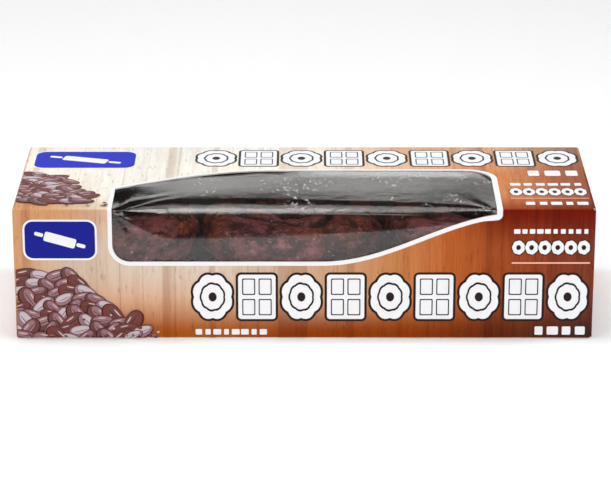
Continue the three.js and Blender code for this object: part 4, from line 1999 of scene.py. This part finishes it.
@dataclass
class RingDoughnut:
    """One frosted old fashioned doughnut: a ring with a split crown and a petalled rim."""

    node: str
    seed: int
    petals: int
    radius: float
    middle_x: float
    split: float
    middle_y: float = 0.3 * MM
    clearance: float = 0.9 * MM
    stations: int = 300
    crown_steps: int = 84
    base_steps: int = 44
    hole_radius: float = 10.5 * MM
    thickness: float = 25.6 * MM
    power: float = 2.7
    crack_depth: float = 6.5 * MM
    crack_width: float = 0.22
    crack_wander: float = 2.4 * MM
    crack_centre: float = -0.24
    base_crack_depth: float = 2.0 * MM
    rim_drop: float = 0.16
    notch_depth: float = 2.6 * MM
    notch_width: float = 0.11
    petal_dip: float = 2.0 * MM
    sway: float = 1.4 * MM
    hole_sway: float = 0.8 * MM
    crack_sway: float = 0.16
    petal_shift: float = 0.55
    least_notch: float = 0.45

    def __post_init__(self) -> None:
        """Draws what makes this doughnut its own."""
        draws = Draws(self.seed, 4)
        self.notches: list[tuple[float, float]] = []
        for petal in range(self.petals):
            angle = (petal + self.petal_shift * (draws.next() - 0.5)) * 2 * math.pi / self.petals
            self.notches.append((angle, draws.between(self.least_notch, 1.0)))
        self.phases = [2 * math.pi * draws.next() for _ in range(6)]

    def build(self, material: Finish, crumbs: Finish) -> Piece:
        """Makes the ring in the place of its solid, roughens it into crags and strews its crumbs.

        Args:
            material: the frosting.
            crumbs: the finish of the crumbs.

        Returns:
            The finished doughnut.
        """
        piece = crag_graph(self.seed, material).run(f"frosted_{self.node}", self._plain_ring())
        piece.data.shade_smooth()
        bare = linked(f"bare_{self.node}", piece.data.copy())
        settle(crumb_graph(self.seed, crumbs).run(f"crumbs_{self.node}", bare), "frosting")
        return settle(piece, "frosting", self.node)

    def _plain_ring(self) -> Piece:
        """The ring before its crags, fitted to the height of its solid.

        Returns:
            The ring, with the depth of its cracks kept on it.
        """
        low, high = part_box(self.node)
        centre = (Vector(low) + Vector(high)) / 2
        vertices: list[Vector] = []
        self.cracks: list[float] = []
        for station in range(self.stations):
            theta = 2 * math.pi * station / self.stations
            for step in range(self.crown_steps):
                vertices.append(self._point(theta, math.cos(math.pi * step / self.crown_steps), True))
            for step in range(self.base_steps):
                vertices.append(self._point(theta, -math.cos(math.pi * step / self.base_steps), False))
        lowest, highest = min(vertex.z for vertex in vertices), max(vertex.z for vertex in vertices)
        scale, middle = (high[2] - low[2] - self.clearance) / (highest - lowest), (highest + lowest) / 2
        placed = [
            Vector((point.x + self.middle_x, point.y + self.middle_y, (point.z - middle) * scale + centre.z))
            for point in vertices
        ]
        faces = grid(self.stations, self.crown_steps + self.base_steps, True, True)
        piece = mesh_object(f"plain_{self.node}", placed, faces)
        turn_outwards(piece)
        kept = piece.data.attributes.new("crack", "FLOAT", "POINT")
        kept.data.foreach_set("value", self.cracks)
        return piece

    def _notch(self, theta: float) -> float:
        """How deep the dip between two petals is at theta, from 0 to 1.

        Args:
            theta: angle round the ring.

        Returns:
            The depth.
        """
        total = 0.0
        for angle, depth in self.notches:
            turn = math.atan2(math.sin(theta - angle), math.cos(theta - angle))
            total += depth * math.exp(-((turn / self.notch_width) ** 2) / 2)
        return min(total, 1.0)

    def _point(self, theta: float, across: float, crown: bool) -> Vector:
        """Point of the ring.

        Args:
            theta: angle round the ring.
            across: -1 at the hole to 1 at the rim.
            crown: True on the upper side.

        Returns:
            The point, about the ring's middle.
        """
        p0, p1, p2, p3, p4, p5 = self.phases
        notch = self._notch(theta)
        outer = self.radius - self.sway * (1 - math.cos(2 * theta + p0)) / 2 - self.notch_depth * notch
        inner = self.hole_radius + self.hole_sway * math.sin(3 * theta + p1)
        middle, half = (outer + inner) / 2, (outer - inner) / 2
        wander = self.crack_wander * (0.6 * math.sin(3 * theta + p2) + 0.4 * math.sin(8 * theta + p3))
        radial = middle + half * across + wander * (1 - across * across)
        bulge = max(0.0, 1 - abs(across) ** self.power) ** (1 / self.power)
        centre = self.crack_centre + self.crack_sway * math.sin(4 * theta + p1) if crown else 0.0
        crack = math.exp(-(((across - centre) / self.crack_width) ** 2)) * (self.split if crown else 1.0)
        self.cracks.append(crack if crown else 0.0)
        height = self.thickness / 2 * bulge
        if crown:
            rim = (across + 1) / 2
            height *= 1 - self.rim_drop * rim * rim
            height -= self.crack_depth * crack * (0.75 + 0.25 * math.sin(5 * theta + p4))
            height -= self.petal_dip * notch * rim * bulge
        else:
            height -= self.base_crack_depth * crack * (0.6 + 0.4 * math.sin(4 * theta + p5))
            height = -height
        return Vector((radial * math.cos(theta), radial * math.sin(theta), height))


def crag_graph(seed: int, material: Finish) -> Graph:
    """Tree that roughens a smooth ring into lumps, crags and grit and keeps the crag height on it.

    Args:
        seed: sets the noise apart from one doughnut to the next.
        material: the frosting.

    Returns:
        The tree.
    """
    graph = Graph("crags")
    lumps = graph.given("Lump height", "Float", 1.4 * MM)
    folds = graph.given("Fold depth", "Float", 1.0 * MM)
    grit = graph.given("Grit height", "Float", 0.4 * MM)
    swell = graph.given("Swell", "Float", 1.0 * MM)
    tallest = graph.given("Tallest", "Float", 1.3 * MM)
    relief = graph.given("Relief", "Float", 2.5 * MM)
    level = graph.given("Crag level", "Float", 0.66)
    start = graph.given("Seed", "Float", float(seed) * 3.7)
    finish = graph.given("Frosting", "Material", material)
    place = graph.node("GeometryNodeInputPosition").outputs[0]
    flattened = graph.stretched(place, (1.0, 1.0, 1.9))
    normal = graph.node("GeometryNodeInputNormal").outputs[0]

    def rough(scale: float, detail: float, share: float) -> Socket:
        """Noise about 0 that differs with the seed."""
        node = graph.node(
            "ShaderNodeTexNoise", {"noise_dimensions": "4D"},
            Vector=flattened, W=start, Scale=scale, Detail=detail, Roughness=share,
        )
        return graph.minus(node.outputs[0], 0.5)

    lump = graph.times(rough(80.0, 2.0, 0.5), graph.times(lumps, 2.0))
    valley = graph.size_of(graph.times(rough(105.0, 3.0, 0.55), 6.0))
    fold = graph.times(graph.rest(graph.math("MINIMUM", valley, 1.0)), folds)
    fine = graph.times(rough(520.0, 4.0, 0.62), graph.times(grit, 2.0))
    height = graph.plus(graph.minus(lump, fold), fine)
    crag = graph.plus(graph.math("DIVIDE", height, relief), level)
    height = graph.math("MINIMUM", graph.plus(height, swell), tallest)
    stored = graph.node(
        "GeometryNodeStoreNamedAttribute", {"data_type": "FLOAT", "domain": "POINT"},
        Geometry=graph.start, Name="crag", Value=crag,
    )
    offset = graph.stretched(graph.scaled(normal, height), (1.0, 1.0, 0.6))
    moved = graph.node("GeometryNodeSetPosition", Geometry=stored.outputs[0], Offset=offset)
    graph.close(moved.outputs[0], finish)
    return graph


def crumb_graph(seed: int, material: Finish) -> Graph:
    """Tree that scatters small flat crumbs over a doughnut.

    Args:
        seed: sets the places and sizes.
        material: the crumbs' finish.

    Returns:
        The tree.
    """
    graph = Graph("crumbs")
    density = graph.given("Crumbs for each square metre", "Float", 7000.0)
    radius = graph.given("Crumb radius", "Float", 0.42 * MM)
    start = graph.given("Seed", "Int", seed)
    finish = graph.given("Crumb finish", "Material", material)
    points = graph.node("GeometryNodeDistributePointsOnFaces", Mesh=graph.start, Density=density, Seed=start)
    crumb = graph.node("GeometryNodeMeshIcoSphere", Radius=radius, Subdivisions=1)
    scale = graph.scaled((1.0, 0.75, 0.55), graph.random(0.35, 1.3, start))
    placed = graph.node(
        "GeometryNodeInstanceOnPoints", Points=points.outputs["Points"], Instance=crumb.outputs[0],
        Rotation=points.outputs["Rotation"], Scale=scale,
    )
    graph.close(placed.outputs[0], finish)
    return graph


@dataclass
class Studio:
    """Plain pale floor, soft lights and the camera."""

    focal_pixels: float = 2851.8
    photo_width: int = 611
    camera_place: tuple[float, float, float] = (0.0006, -1.251, 0.484)
    pitch: float = 20.09
    sensor: float = 36.0
    floor_colour: Colour = (0.93, 0.93, 0.93)
    floor_reach: float = 4.0
    glow: float = 0.08

    def build(self) -> None:
        """Makes the camera, the lights, the world and the floor."""
        self._camera()
        self._floor()
        for name, place, size, power, straight in (
            ("key_left", (-0.175, 0.12, 1.12), (0.31, 0.6), 1.68, True),
            ("key_core", (-0.175, 0.02, 1.115), (0.31, 0.24), 1.5, True),
            ("key_side", (0.175, -0.045, 1.11), (0.13, 0.28), 1.0, True),
            ("key_right", (0.0475, 0.09, 1.12), (0.135, 0.66), 0.76, True),
            ("key_far", (0.1825, 0.09, 1.12), (0.135, 0.66), 0.34, True),
            ("top_left", (-0.74, 0.06, 1.0), (0.4, 0.72), 3.2, False),
            ("top_right", (0.74, 0.06, 1.0), (0.4, 0.72), 3.9, False),
            ("left", (-1.05, -1.0, 0.62), (0.8, 0.7), 7.2, False),
            ("right", (1.05, -1.0, 0.62), (0.8, 0.7), 7.2, False),
            ("back_left", (-0.58, 1.25, 0.55), (1.04, 0.34), 1.78, True),
            ("back_middle", (-0.03, 1.25, 0.55), (0.06, 0.34), 0.07, True),
            ("back_right", (0.06, 1.25, 0.61), (0.12, 0.2), 0.142, True),
            ("back_far", (0.61, 1.25, 0.61), (0.98, 0.2), 0.61, True),
            ("back_start", (-0.16, 1.25, 0.3), (0.32, 0.16), 0.17, True),
            ("back_low", (0.075, 1.25, 0.32), (0.15, 0.22), 0.25, True),
            ("back_end", (0.25, 1.25, 0.335), (0.2, 0.21), 0.2, True),
            ("fill", (0.0, -1.15, 0.56), (0.5, 0.3), 2.6, False),
        ):
            light = self._light(name, place, size, power, straight)
            light.visible_glossy = name != "fill"
        world = bpy.data.worlds.new("studio")
        world.use_nodes = True
        background = world.node_tree.nodes["Background"]
        background.inputs["Color"].default_value = (1.0, 1.0, 1.0, 1.0)
        background.inputs["Strength"].default_value = self.glow
        scene = bpy.context.scene
        scene.world = world
        scene.view_settings.view_transform = "Standard"
        scene.view_settings.look = "None"

    def _camera(self) -> None:
        """Camera at the photograph's angle."""
        data = bpy.data.cameras.new("camera")
        data.sensor_width = self.sensor
        data.lens = self.focal_pixels / self.photo_width * data.sensor_width
        camera = linked("camera", data)
        camera.location = self.camera_place
        camera.rotation_euler = (math.radians(90 - self.pitch), 0.0, 0.0)
        bpy.context.scene.camera = camera

    def _light(self, name: str, place: Sequence[float], size: Point2, power: float, straight: bool) -> Piece:
        """Soft rectangular light turned to the carton.

        Args:
            name: the light's name.
            place: its middle.
            size: its width and height.
            power: its power, in watts.
            straight: True where it keeps its width along X instead of turning to the carton's middle.

        Returns:
            The light.
        """
        data = bpy.data.lights.new(name, "AREA")
        data.shape = "RECTANGLE"
        data.size, data.size_y = size
        data.energy = power
        light = linked(name, data)
        light.location = place
        target = Vector((place[0] if straight else 0.0, 0.0, 0.03))
        light.rotation_euler = (target - Vector(place)).to_track_quat("-Z", "Y").to_euler()
        light.visible_camera = False
        return light

    def _floor(self) -> None:
        """Plain pale floor."""
        reach = self.floor_reach
        corners = [(-reach, -reach, 0.0), (reach, -reach, 0.0), (reach, reach, 0.0), (-reach, reach, 0.0)]
        floor = mesh_object("floor", corners, [(0, 1, 2, 3)], None)
        shade = Shading("floor")
        surface = shade.node("ShaderNodeBsdfPrincipled", Base_Color=self.floor_colour, Roughness=0.8)
        surface.inputs["Emission Color"].default_value = (1.0, 1.0, 1.0, 1.0)
        surface.inputs["Emission Strength"].default_value = self.glow
        floor.data.materials.append(shade.finish(surface.outputs[0]))


def main() -> None:
    """Builds the studio, the carton with its print and film, and the doughnuts."""
    logging.basicConfig(level=logging.INFO, format="%(message)s")
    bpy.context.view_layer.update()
    Studio().build()
    sizes = CartonSizes.from_frame()
    FoldedBoard(sizes).build()
    Prints(sizes).build()
    WindowFilm(sizes).build()
    frosting, crumbs = Frosting().material(), Crumb().material()
    for place, seed, petals, radius, middle_x, split in (
        ("lower_left", 11, 7, 39.8, -88.7, 0.35), ("lower_middle", 12, 8, 42.4, -5.5, 1.0),
        ("lower_right", 13, 6, 41.5, 79.6, 0.7), ("upper_left", 14, 8, 40.1, -88.7, 0.35),
        ("upper_middle", 15, 7, 42.8, -5.5, 1.0), ("upper_right", 16, 7, 41.9, 79.6, 0.7),
    ):
        doughnut = RingDoughnut(f"doughnut_{place}", seed, petals, radius * MM, middle_x * MM, split)
        doughnut.build(frosting, crumbs)


if __name__ == "__main__":
    main()
